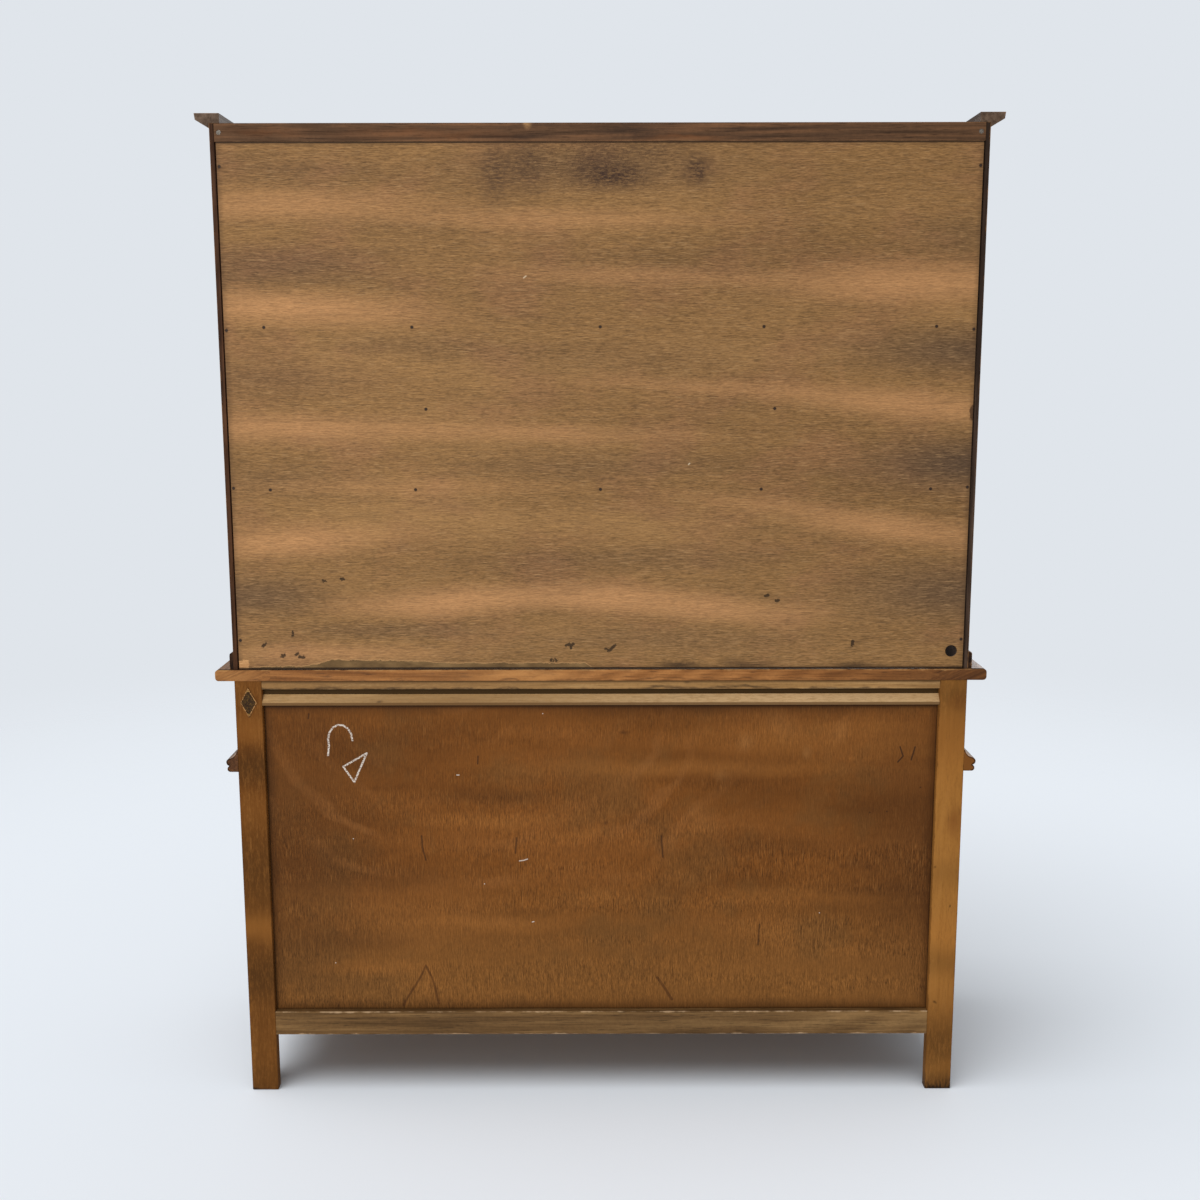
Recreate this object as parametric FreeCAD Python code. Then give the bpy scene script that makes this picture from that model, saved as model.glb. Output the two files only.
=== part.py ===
import FreeCAD, Part
import os

# Welsh dresser: a cupboard base on legs, with drawers under the worktop, and a plate rack standing on it.
# Sizes are in millimetres. +Z is up, the front faces -Y, and the origin is on the floor under the
# middle of the worktop. Left and right are as seen from the front, so left is -X.

Vector = FreeCAD.Vector

# Worktop
worktop_width = 1372.0
worktop_depth = 458.0
worktop_height = 804.0
worktop_thickness = 20.0
worktop_nose_radius = 6.0
worktop_side_overhang = 33.0
worktop_front_overhang = 30.0
worktop_back_overhang = 3.0
end_clamp_width = 98.0
clamp_tongue_length = 14.0
clamp_tongue_thickness = 6.0

# Base frame
leg_width = 48.0
leg_thickness = 20.0
rail_underside = 110.0
bottom_rail_height = 45.0
front_top_rail_height = 20.0
drawer_opening_height = 110.0
drawer_rail_height = 38.0
muntin_width = 30.0
side_thickness = 18.0
side_stile_width = 45.0
side_top_rail_height = 60.0
side_panel_thickness = 6.0

# Back of the base
base_panel_thickness = 4.0
base_panel_recess = 12.0
back_top_rail_height = 16.0
batten_drop = 27.5
batten_height = 18.0
batten_flat = 5.5
batten_top_flat = 1.0

# Joinery
tenon_length = 12.0
tenon_thickness = 6.0
tenon_shoulder = 3.0
groove_depth = 7.0
groove_play = 0.5
dado_depth = 6.0
edge_ease = 0.8

# Inside the base
floor_board_thickness = 12.0
floor_board_drop = 5.0
cupboard_shelf_height = 390.0
cupboard_shelf_thickness = 15.0
cupboard_batten = 15.0
runner_height = 20.0
guide_height = 20.0
runner_width = 56.0
rear_rail_thickness = 20.0

# Drawers
drawer_gap = 1.5
drawer_front_thickness = 20.0
drawer_side_thickness = 12.0
drawer_side_clearance = 2.0
drawer_running_gap = 0.3
drawer_top_clearance = 20.0
drawer_back_drop = 12.0
drawer_bottom_thickness = 5.0
drawer_bottom_rise = 9.0
drawer_field_rise = 4.0
drawer_field_margin = 9.0
drawer_field_bevel = 11.0

# Doors
door_thickness = 20.0
door_gap = 1.8
door_stile_width = 55.0
rack_door_stile_width = 42.0
door_panel_edge = 6.0
door_panel_set_back = 7.0
door_field_rise = 5.0
door_field_margin = 14.0
door_field_bevel = 20.0
rack_door_field_bevel = 15.0

# Hinges and knobs
hinge_length = 50.0
hinge_gap = 2.2
hinge_leaf_gap = 0.2
hinge_leaf_depth = 16.0
hinge_inset = 70.0
rack_hinge_inset = 45.0
knuckle_radius = 4.0
knuckle_clearance = 0.3
pin_radius = 2.0
pin_clearance = 0.05
knob_spigot_radius = 4.0
knob_spigot_length = 10.0
knob_base_radius = 11.0
knob_head_radius = 13.5
knob_length = 23.0

# Waist moulding round the base
waist_projection = 21.0

# Rack
rack_height = 933.0
rack_depth = 240.0
rack_side_thickness = 18.0
rack_side_scoop = 26.0
scoop_margin = 18.0
rack_panel_thickness = 4.0
rack_panel_set_in = 1.0
rack_rebate_width = 10.5
rack_panel_gap = 2.5
rack_panel_foot_gap = 0.8
rack_top_rail_height = 30.0
rack_top_rail_thickness = 20.0
rack_top_thickness = 18.0
shelf_thickness = 18.0
lower_shelf_rise = 311.0
upper_shelf_rise = 589.0
partition_thickness = 16.0
partition_centre = 301.0
partition_housing = 5.0
plate_groove_width = 9.0
plate_groove_depth = 3.0
plate_groove_from_back = 52.0
frieze_height = 68.0
frieze_thickness = 18.0
frieze_rise = 24.0
frieze_shoulder = 70.0
frieze_curve_run = 62.0
foot_moulding_height = 31.0
foot_moulding_thickness = 6.6
foot_moulding_radius = 5.0
dowel_radius = 5.0
dowel_reach = 21.0
dowel_floor = 5.0
dowel_spacing = 120.0

# Cornice round the top of the rack
cornice_rise = 16.0
cornice_drop = 8.0
cornice_projection = 24.4
cornice_fillet = 10.7
cornice_seat = 17.5

# Cable hole in the back of the rack
cable_hole_radius = 10.5
cable_hole_inset = 13.0
cable_hole_rise = 32.0

# Fixings and badge on the back
pin_head_radius = 2.3
pin_length = 14.0
pin_sink = 0.4
shelf_pin_inset = 60.0
shelf_pin_stray = 21.0
edge_pin_count = 4
edge_pin_lowest = 53.0
edge_pin_highest = 70.0
edge_pin_inset = 14.0
screw_head_radius = 4.0
screw_head_height = 2.5
screw_shank_radius = 2.0
screw_length = 36.0
screw_sink = 0.5
screw_inset = 15.5
badge_width = 30.0
badge_height = 55.0
badge_thickness = 1.2
badge_rim = 2.0
badge_rim_height = 0.6
badge_below_worktop = 40.0
badge_pin_radius = 1.3
badge_pin_length = 8.0
badge_pin_inset = 6.0


# Positions worked out from the sizes above
carcass_top = worktop_height - worktop_thickness
carcass_half = worktop_width / 2 - worktop_side_overhang
opening_half = carcass_half - leg_width
side_inside = carcass_half - side_thickness
front = -worktop_depth / 2 + worktop_front_overhang
back = worktop_depth / 2 - worktop_back_overhang
front_inside = front + leg_thickness
back_inside = back - leg_thickness
rail_top = rail_underside + bottom_rail_height
drawer_zone_top = carcass_top - front_top_rail_height
drawer_zone_bottom = drawer_zone_top - drawer_opening_height
door_zone_top = drawer_zone_bottom - drawer_rail_height
bay_width = (2 * opening_half - 2 * muntin_width) / 3
muntin_centre = (bay_width + muntin_width) / 2
base_panel_back = back - base_panel_recess
base_panel_front = base_panel_back - base_panel_thickness
rear_rail_front = back_inside - rear_rail_thickness
rack_bottom = worktop_height
rack_top = rack_bottom + rack_height
rack_front = back - rack_depth
rack_inside = carcass_half - rack_side_thickness
rack_rebate_depth = rack_panel_thickness + rack_panel_set_in
rack_panel_back = back - rack_panel_set_in
rack_panel_front = back - rack_rebate_depth
rack_panel_half = rack_inside + rack_rebate_width - rack_panel_gap
lower_shelf = rack_bottom + lower_shelf_rise
upper_shelf = rack_bottom + upper_shelf_rise
frieze_top = rack_top - rack_top_thickness
frieze_bottom = frieze_top - frieze_height


# Shapes that several pieces share
def block(x, y, z):
    return Part.makeBox(x[1] - x[0], y[1] - y[0], z[1] - z[0], Vector(x[0], y[0], z[0]))


def board(x, y, z):
    shape = block(x, y, z)
    return shape.makeChamfer(edge_ease, shape.Edges)


def mirrored(shape):
    return shape.mirror(Vector(0, 0, 0), Vector(1, 0, 0))


def rod(radius, start, end, x, z):
    return Part.makeCylinder(radius, end - start, Vector(x, start, z), Vector(0, 1, 0))


def profile_face(steps, place):
    # A step is a point, reached by a line, or a pair of points: an arc through the first to the second.
    edges = []
    here = steps[0]
    for step in steps[1:] + steps[:1]:
        if isinstance(step[0], tuple):
            middle, end = step
            edges.append(Part.Arc(place(*here), place(*middle), place(*end)).toShape())
        else:
            end = step
            edges.append(Part.LineSegment(place(*here), place(*end)).toShape())
        here = end
    return Part.Face(Part.Wire(edges))


def tenons(box, axis, thin):
    # Stub tenons on both ends of a rail that runs along one axis and is thin along another.
    ends = []
    for end in (0, 1):
        span = list(box)
        at = box[axis][end]
        span[axis] = (at, at + tenon_length) if end else (at - tenon_length, at)
        middle = (box[thin][0] + box[thin][1]) / 2
        span[thin] = (middle - tenon_thickness / 2, middle + tenon_thickness / 2)
        other = 3 - axis - thin
        span[other] = (box[other][0] + tenon_shoulder, box[other][1] - tenon_shoulder)
        ends.append(block(*span))
    return ends


def tenoned(box, axis, thin):
    return board(*box).fuse(tenons(box, axis, thin)).removeSplitter()


def grown(span, by):
    return (span[0] - by, span[1] + by)


def raised_panel(x, z, panel_back, edge, rise, margin, bevel):
    # A panel with a raised field on its front and a bevel round the field.
    face = panel_back - edge - rise
    slab = block(x, (panel_back - edge, panel_back), z)
    field = Part.makeWedge(
        x[0] + margin + bevel, face, z[0] + margin + bevel, z[0] + margin, x[0] + margin,
        x[1] - margin - bevel, panel_back - edge, z[1] - margin - bevel, z[1] - margin, x[1] - margin)
    return slab.fuse(field).removeSplitter()


def mitred_runs(steps, half, run_front, run_back, reach):
    # A moulding round the left, front and right of a case, mitred at the two front corners.
    points = [point for step in steps for point in (step if isinstance(step[0], tuple) else (step,))]
    low = min(height for out, height in points)
    high = max(height for out, height in points)
    far = 4 * half
    corner = [
        Vector(half - far, run_front + far, low),
        Vector(half + far, run_front - far, low),
        Vector(half - far, run_front - far, low),
    ]
    before_mitre = Part.Face(Part.makePolygon(corner + corner[:1])).extrude(Vector(0, 0, high - low))
    right = profile_face(steps, lambda u, z: Vector(half + u, run_front - 2 * reach, z))
    right = right.extrude(Vector(0, run_back - run_front + 2 * reach, 0)).cut(before_mitre)
    middle = profile_face(steps, lambda u, z: Vector(-half - 2 * reach, run_front - u, z))
    middle = middle.extrude(Vector(2 * half + 4 * reach, 0, 0))
    middle = middle.common(before_mitre).common(mirrored(before_mitre))
    return [mirrored(right), middle, right]


nodes = {}

# Rails of the base: between the legs at the back and front, and between the side stiles
back_rail_y = (base_panel_back, back)
frame_y = (front, front_inside)
opening_x = (-opening_half, opening_half)
back_top_box = (opening_x, back_rail_y, (carcass_top - back_top_rail_height, carcass_top))
back_bottom_box = (opening_x, (back_inside, back), (rail_underside, rail_top))
front_top_box = (opening_x, frame_y, (drawer_zone_top, carcass_top))
drawer_rail_box = (opening_x, frame_y, (door_zone_top, drawer_zone_bottom))
front_bottom_box = (opening_x, frame_y, (rail_underside, rail_top))

# Plywood back of the base, in grooves in the rear legs and the bottom rail
base_panel_x = grown(opening_x, groove_depth - groove_play)
base_panel_z = (rail_top - groove_depth + groove_play, carcass_top - tenon_shoulder)
base_panel_y = (base_panel_front, base_panel_back)
base_panel = block(base_panel_x, base_panel_y, base_panel_z)
base_panel_groove = block(grown(base_panel_x, groove_play), base_panel_y, grown(base_panel_z, groove_play))
nodes["base_back_panel"] = [base_panel]
nodes["back_top_rail"] = [tenoned(back_top_box, 0, 1)]
nodes["back_bottom_rail"] = [tenoned(back_bottom_box, 0, 1).cut(base_panel_groove)]

# Batten over the top of the plywood, bevelled along its upper edge
batten_top = carcass_top - batten_drop
batten_bottom = batten_top - batten_height
batten_steps = [
    (base_panel_back, batten_bottom),
    (back, batten_bottom),
    (back, batten_bottom + batten_flat),
    (base_panel_back + batten_top_flat, batten_top),
    (base_panel_back, batten_top),
]
batten_end = profile_face(batten_steps, lambda y, z: Vector(-opening_half, y, z))
nodes["back_batten"] = [batten_end.extrude(Vector(2 * opening_half, 0, 0))]

# Legs: a flat board at each corner of the base, mortised for the rails
leg_x = (opening_half, carcass_half)
rear_leg = board(leg_x, (back_inside, back), (0, carcass_top))
rear_leg = rear_leg.cut(tenons(back_top_box, 0, 1) + tenons(back_bottom_box, 0, 1) + [base_panel_groove])
front_leg = board(leg_x, frame_y, (0, carcass_top))
for box in (front_top_box, drawer_rail_box, front_bottom_box):
    front_leg = front_leg.cut(tenons(box, 0, 1))

# Side frames: two stiles that stand on the floor beside the legs, two rails and a thin panel
side_x = (side_inside, carcass_half)
front_stile_y = (front_inside, front_inside + side_stile_width)
rear_stile_y = (back_inside - side_stile_width, back_inside)
side_rail_y = (front_stile_y[1], rear_stile_y[0])
side_top_box = (side_x, side_rail_y, (carcass_top - side_top_rail_height, carcass_top))
side_bottom_box = (side_x, side_rail_y, (rail_underside, rail_top))
side_middle = (side_x[0] + side_x[1]) / 2
side_panel_x = (side_middle - side_panel_thickness / 2, side_middle + side_panel_thickness / 2)
side_panel_y = grown(side_rail_y, groove_depth - groove_play)
side_panel_z = grown((rail_top, carcass_top - side_top_rail_height), groove_depth - groove_play)
side_panel = block(side_panel_x, side_panel_y, side_panel_z)
side_groove = block(side_panel_x, grown(side_panel_y, groove_play), grown(side_panel_z, groove_play))
side_mortises = tenons(side_top_box, 1, 0) + tenons(side_bottom_box, 1, 0) + [side_groove]
side_frame = [
    board(side_x, front_stile_y, (0, carcass_top)).cut(side_mortises),
    board(side_x, rear_stile_y, (0, carcass_top)).cut(side_mortises),
    tenoned(side_top_box, 1, 0).cut(side_groove),
    tenoned(side_bottom_box, 1, 0).cut(side_groove),
]
nodes["side_frame_left"] = [mirrored(piece) for piece in side_frame]
nodes["side_frame_right"] = side_frame
nodes["side_panels"] = [mirrored(side_panel), side_panel]

# Front rails and the muntins that divide the drawers and the doors
muntin_x = (muntin_centre - muntin_width / 2, muntin_centre + muntin_width / 2)
drawer_muntin_box = (muntin_x, frame_y, (drawer_zone_bottom, drawer_zone_top))
door_muntin_box = (muntin_x, frame_y, (rail_top, door_zone_top))
centre_x = (-muntin_x[0], muntin_x[0])
centre_panel_x = grown(centre_x, groove_depth - groove_play)
centre_panel_z = grown((rail_top, door_zone_top), groove_depth - groove_play)
centre_panel_back = front + door_panel_set_back + door_panel_edge
centre_panel = raised_panel(
    centre_panel_x, centre_panel_z, centre_panel_back, door_panel_edge, door_field_rise,
    door_field_margin + groove_depth, door_field_bevel)
centre_groove = block(
    grown(centre_panel_x, groove_play), (centre_panel_back - door_panel_edge, centre_panel_back),
    grown(centre_panel_z, groove_play))
muntin_tenons = tenons(drawer_muntin_box, 2, 1) + tenons(door_muntin_box, 2, 1)
rail_cuts = muntin_tenons + [mirrored(piece) for piece in muntin_tenons] + [centre_groove]
nodes["front_rails"] = [
    tenoned(box, 0, 1).cut(rail_cuts) for box in (front_top_box, drawer_rail_box, front_bottom_box)]
drawer_muntin = tenoned(drawer_muntin_box, 2, 1)
door_muntin = tenoned(door_muntin_box, 2, 1).cut(centre_groove)
nodes["front_muntins"] = [drawer_muntin, mirrored(drawer_muntin), door_muntin, mirrored(door_muntin)]
nodes["front_centre_panel"] = [centre_panel]

# Floor, shelf and battens inside the cupboard
inside_x = (-side_inside, side_inside)
floor_top = rail_top - floor_board_drop
floor_bottom = floor_top - floor_board_thickness
floor_z = (floor_bottom, floor_top)
nodes["cupboard_floor"] = [block(inside_x, (front_inside, back_inside), floor_z)]
shelf_z = (cupboard_shelf_height, cupboard_shelf_height + cupboard_shelf_thickness)
shelf_y = (front + door_thickness + drawer_running_gap, back_inside)
nodes["cupboard_shelf"] = [board(inside_x, shelf_y, shelf_z)]
floor_batten_z = (floor_bottom - cupboard_batten, floor_bottom)
shelf_batten_z = (cupboard_shelf_height - cupboard_batten, cupboard_shelf_height)
side_batten = block((side_inside - cupboard_batten, side_inside), (front_inside, back_inside), shelf_batten_z)
nodes["cupboard_battens"] = [
    block(opening_x, (front_inside, front_inside + cupboard_batten), floor_batten_z),
    block(opening_x, (back_inside - cupboard_batten, back_inside), floor_batten_z),
    side_batten,
    mirrored(side_batten),
]

# Runners and guides for the drawers, carried at the back by a rail that also stops the drawers
rear_rail_y = (rear_rail_front, back_inside)
runner_z = (drawer_zone_bottom - runner_height, drawer_zone_bottom)
guide_z = (drawer_zone_bottom, drawer_zone_bottom + guide_height)
runner_y = (front_inside, rear_rail_front)
outer_runner_x = (opening_half - (runner_width - muntin_width) / 2, side_inside)
middle_runner_x = (muntin_centre - runner_width / 2, muntin_centre + runner_width / 2)
outer_guide_x = (opening_half, side_inside)
nodes["drawer_runners"] = []
for span in (outer_runner_x, middle_runner_x):
    runner = block(span, runner_y, runner_z)
    nodes["drawer_runners"] += [runner, mirrored(runner)]
for span in (outer_guide_x, muntin_x):
    guide = block(span, runner_y, guide_z)
    nodes["drawer_runners"] += [guide, mirrored(guide)]
nodes["runner_rear_rail"] = [block(inside_x, rear_rail_y, (door_zone_top, guide_z[1]))]

# Waist moulding over the drawer rail and along both sides: a hollow, a round nose and a bead below it
def waist_point(out, up):
    return (out * waist_projection, door_zone_top + up * drawer_rail_height)


waist_steps = [
    waist_point(0, 0),
    waist_point(0, 1),
    waist_point(0.07, 1),
    (waist_point(0.31, 0.76), waist_point(0.76, 0.64)),
    (waist_point(1, 0.47), waist_point(0.68, 0.29)),
    (waist_point(0.92, 0.12), waist_point(0.71, 0)),
]
nodes["waist_moulding"] = mitred_runs(waist_steps, carcass_half, front, back, waist_projection)

# Worktop: a wide board with a clamp tongued across each end, rounded at the front and the ends
board_half = worktop_width / 2 - end_clamp_width
worktop_y = (-worktop_depth / 2, worktop_depth / 2)
worktop_z = (carcass_top, worktop_height)
slab = block((-worktop_width / 2, worktop_width / 2), worktop_y, worktop_z)
nosed = [
    edge for edge in slab.Edges
    if edge.BoundBox.ZLength < 1 and (edge.BoundBox.XLength < 1 or edge.CenterOfMass.y < 0)]
slab = slab.makeFillet(worktop_nose_radius, nosed)
tongue_z = (
    (worktop_z[0] + worktop_z[1] - clamp_tongue_thickness) / 2,
    (worktop_z[0] + worktop_z[1] + clamp_tongue_thickness) / 2)
middle_part = block((-board_half, board_half), worktop_y, worktop_z)
tongue = block((-board_half - clamp_tongue_length, board_half + clamp_tongue_length), worktop_y, tongue_z)
end_part = block((board_half, worktop_width), worktop_y, worktop_z)
worktop_board = slab.common(middle_part.fuse(tongue).removeSplitter())
end_clamp = slab.common(end_part).cut(tongue)

# Rack sides: scooped along the front edge above and below the little cupboards
scoop = rack_front + rack_side_scoop
low_scoop = (rack_bottom + foot_moulding_height + scoop_margin, lower_shelf - scoop_margin)
high_scoop = (upper_shelf + shelf_thickness + scoop_margin, frieze_bottom - scoop_margin)
side_steps = [
    (back, rack_bottom),
    (back, rack_top),
    (rack_front, rack_top),
    (rack_front, high_scoop[1]),
    ((scoop, (high_scoop[0] + high_scoop[1]) / 2), (rack_front, high_scoop[0])),
    (rack_front, low_scoop[1]),
    ((scoop, (low_scoop[0] + low_scoop[1]) / 2), (rack_front, low_scoop[0])),
    (rack_front, rack_bottom),
]
rack_side = profile_face(side_steps, lambda y, z: Vector(rack_inside, y, z))
rack_side = rack_side.extrude(Vector(rack_side_thickness, 0, 0))
rebate_x = (rack_inside, rack_inside + rack_rebate_width)
rack_x = grown((-rack_inside, rack_inside), dado_depth)
rack_inner_y = (rack_front, rack_panel_front)
top_rail_z = (rack_top - rack_top_rail_height, rack_top)
top_rail_y = (back - rack_top_rail_thickness, back)
top_board_y = (rack_front, top_rail_y[0])
lower_z = (lower_shelf, lower_shelf + shelf_thickness)
upper_z = (upper_shelf, upper_shelf + shelf_thickness)
rack_side = rack_side.cut([
    block(rebate_x, (rack_panel_front, back), (rack_bottom, rack_top)),
    block(rebate_x, top_rail_y, top_rail_z),
    block(rack_x, rack_inner_y, lower_z),
    block(rack_x, rack_inner_y, upper_z),
    block(rack_x, top_board_y, (frieze_top, rack_top)),
])

# Shelves with a groove to stop plates, the two partitions between them, and the top board
partition_x = (partition_centre - partition_thickness / 2, partition_centre + partition_thickness / 2)
partition_z = (lower_z[1] - partition_housing, upper_z[0] + partition_housing)
partition = block(partition_x, rack_inner_y, partition_z)
groove_y = (
    rack_panel_front - plate_groove_from_back - plate_groove_width, rack_panel_front - plate_groove_from_back)
lower_groove_z = (lower_z[1] - plate_groove_depth, lower_z[1])
upper_groove_z = (upper_z[1] - plate_groove_depth, upper_z[1])
lower_groove = block((-partition_x[0], partition_x[0]), groove_y, lower_groove_z)
upper_groove = block((-rack_inside, rack_inside), groove_y, upper_groove_z)
housings = [partition, mirrored(partition)]
lower_board = block(rack_x, rack_inner_y, lower_z).cut(housings + [lower_groove])
upper_board = block(rack_x, rack_inner_y, upper_z).cut(housings + [upper_groove])
top_board = block(rack_x, top_board_y, (frieze_top, rack_top))

# Frieze rail under the top board, with its lower edge stepped up in the middle by two ogee curves
ogee_out = rack_inside - frieze_shoulder
ogee_in = ogee_out - frieze_curve_run
ogee_mid = (ogee_out + ogee_in) / 2
frieze_mid = frieze_bottom + frieze_rise / 2
frieze_high = frieze_bottom + frieze_rise
quarter = frieze_curve_run / 4
bulge = frieze_rise / 7
frieze_steps = [
    (-rack_inside, frieze_bottom),
    (-rack_inside, frieze_top),
    (rack_inside, frieze_top),
    (rack_inside, frieze_bottom),
    (ogee_out, frieze_bottom),
    ((ogee_mid + quarter, frieze_bottom + bulge), (ogee_mid, frieze_mid)),
    ((ogee_mid - quarter, frieze_high - bulge), (ogee_in, frieze_high)),
    (-ogee_in, frieze_high),
    ((-ogee_mid + quarter, frieze_high - bulge), (-ogee_mid, frieze_mid)),
    ((-ogee_mid - quarter, frieze_bottom + bulge), (-ogee_out, frieze_bottom)),
]
frieze = profile_face(frieze_steps, lambda x, z: Vector(x, rack_front, z))
nodes["frieze_rail"] = [frieze.extrude(Vector(0, frieze_thickness, 0))]

# Cornice seated on the sides and the top board
cornice_steps = [
    (-cornice_seat, rack_top),
    (-cornice_seat, rack_top + cornice_rise),
    (cornice_projection, rack_top + cornice_rise),
    (cornice_projection - 1.5, rack_top + cornice_rise - cornice_fillet),
    (0.0, rack_top - cornice_drop),
    (0.0, rack_top),
]
nodes["cornice"] = mitred_runs(cornice_steps, carcass_half, rack_front, back, cornice_projection)

# Strip along the foot of each rack side
foot_strip = block(
    (carcass_half, carcass_half + foot_moulding_thickness), (rack_front, back),
    (rack_bottom, rack_bottom + foot_moulding_height))
foot_edge = [
    edge for edge in foot_strip.Edges
    if edge.BoundBox.YLength > 1 and edge.CenterOfMass.z > rack_bottom + 1
    and edge.CenterOfMass.x > carcass_half + 1]
foot_strip = foot_strip.makeFillet(foot_moulding_radius, foot_edge)
nodes["rack_foot_mouldings"] = [mirrored(foot_strip), foot_strip]

# Dowels that stand the rack on the worktop
dowel_x = carcass_half - rack_side_thickness / 2
dowel_low = carcass_top + dowel_floor
dowel_length = rack_bottom + dowel_reach - dowel_low
dowel_middle = (rack_front + back) / 2
dowels = []
for y in (dowel_middle - dowel_spacing / 2, dowel_middle + dowel_spacing / 2):
    dowel = Part.makeCylinder(dowel_radius, dowel_length, Vector(dowel_x, y, dowel_low))
    dowels += [dowel, mirrored(dowel)]
nodes["rack_dowels"] = dowels
nodes["worktop"] = [worktop_board]
nodes["worktop_end_clamps"] = [mirrored(end_clamp.cut(dowels)), end_clamp.cut(dowels)]

# Top rail and plywood back of the rack, with the cable hole
top_rail = board(grown((-rack_inside, rack_inside), rack_rebate_width), top_rail_y, top_rail_z)
rack_panel_z = (rack_bottom + rack_panel_foot_gap, top_rail_z[0])
rack_panel = block((-rack_panel_half, rack_panel_half), (rack_panel_front, rack_panel_back), rack_panel_z)
cable_hole = rod(
    cable_hole_radius, rack_panel_front, back, cable_hole_inset - rack_inside, rack_bottom + cable_hole_rise)

# Panel pins through the plywood into the shelves, the partitions and the sides
pin_start = rack_panel_back - pin_sink - pin_length
pin_end = rack_panel_back - pin_sink
shelf_pin_places = (
    shelf_pin_inset - rack_inside, shelf_pin_stray - partition_centre, 0.0,
    partition_centre + shelf_pin_stray, rack_inside - shelf_pin_inset)
edge_pin_spacing = (rack_height - edge_pin_lowest - edge_pin_highest) / (edge_pin_count - 1)
pin_spots = []
for z in (lower_shelf + shelf_thickness / 2, upper_shelf + shelf_thickness / 2):
    pin_spots += [(x, z) for x in shelf_pin_places]
for side in (-1, 1):
    pin_spots.append((side * partition_centre, (lower_z[1] + upper_z[0]) / 2))
    for step in range(edge_pin_count):
        height = rack_bottom + edge_pin_lowest + step * edge_pin_spacing
        pin_spots.append((side * (carcass_half - edge_pin_inset), height))
pins = [rod(pin_head_radius, pin_start, pin_end, x, z) for x, z in pin_spots]
pin_holes = [rod(pin_head_radius, pin_start, back, x, z) for x, z in pin_spots]
nodes["panel_pins"] = pins
nodes["rack_back_panel"] = [rack_panel.cut(pin_holes + [cable_hole])]
nodes["rack_lower_shelf"] = [lower_board.cut(pins)]
nodes["rack_upper_shelf"] = [upper_board.cut(pins)]
nodes["rack_partitions"] = [mirrored(partition).cut(pins), partition.cut(pins)]

# Screws through the ends of the top rail into the sides
screw_z = (top_rail_z[0] + top_rail_z[1]) / 2
screws = []
for side in (-1, 1):
    x = side * (carcass_half - screw_inset)
    head = rod(screw_head_radius, back - screw_sink - screw_head_height, back - screw_sink, x, screw_z)
    shank = rod(screw_shank_radius, back - screw_length, back - screw_sink - screw_head_height, x, screw_z)
    screws.append(head.fuse(shank).removeSplitter())
screw_mouths = [
    rod(screw_head_radius, back - screw_sink, back, side * (carcass_half - screw_inset), screw_z)
    for side in (-1, 1)]
nodes["rail_screws"] = screws
nodes["rack_top_rail"] = [top_rail.cut(screws + screw_mouths)]
nodes["rack_top_board"] = [top_board.cut(screws)]
rack_side = rack_side.cut(pins + screws + dowels)
nodes["rack_side_left"] = [mirrored(rack_side)]
nodes["rack_side_right"] = [rack_side]

# Bare diamond badge pinned to the back of the right rear leg
badge_x = carcass_half - leg_width / 2
badge_z = carcass_top - badge_below_worktop


def diamond(width, height, start, thickness):
    points = [
        Vector(badge_x, start, badge_z - height / 2),
        Vector(badge_x + width / 2, start, badge_z),
        Vector(badge_x, start, badge_z + height / 2),
        Vector(badge_x - width / 2, start, badge_z),
    ]
    return Part.Face(Part.makePolygon(points + points[:1])).extrude(Vector(0, thickness, 0))


inner_share = 1 - 2 * badge_rim / badge_width
badge = diamond(badge_width, badge_height, back, badge_thickness + badge_rim_height)
badge = badge.cut(diamond(
    badge_width * inner_share, badge_height * inner_share, back + badge_thickness, badge_rim_height + 1))
badge_pins = []
for side in (-1, 1):
    z = badge_z + side * (badge_height / 2 - badge_pin_inset)
    badge_pins.append(rod(
        badge_pin_radius, back - badge_pin_length, back + badge_thickness + badge_rim_height, badge_x, z))
nodes["badge_plate"] = [badge.cut(badge_pins)]
nodes["badge_pins"] = badge_pins
nodes["rear_leg_left"] = [mirrored(rear_leg)]
nodes["rear_leg_right"] = [rear_leg.cut(badge_pins)]
nodes["front_leg_left"] = [mirrored(front_leg)]
nodes["front_leg_right"] = [front_leg]


# Brass knob with a spigot let into the wood behind it
def knob(x, z, face):
    profile = [
        (0.0, -knob_spigot_length),
        (knob_spigot_radius, -knob_spigot_length),
        (knob_spigot_radius, 0.0),
        (knob_base_radius, 0.0),
        (knob_base_radius, knob_length * 0.09),
        ((knob_base_radius * 0.6, knob_length * 0.2), (knob_base_radius * 0.55, knob_length * 0.42)),
        ((knob_head_radius, knob_length * 0.7), (knob_head_radius * 0.55, knob_length * 0.97)),
        (0.0, knob_length),
    ]
    half = profile_face(profile, lambda r, out: Vector(x + r, face - out, z))
    return half.revolve(Vector(x, face, z), Vector(0, 1, 0), 360)


def knob_hole(x, z, face):
    return rod(knob_spigot_radius, face - 1, face + knob_spigot_length, x, z)


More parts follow.
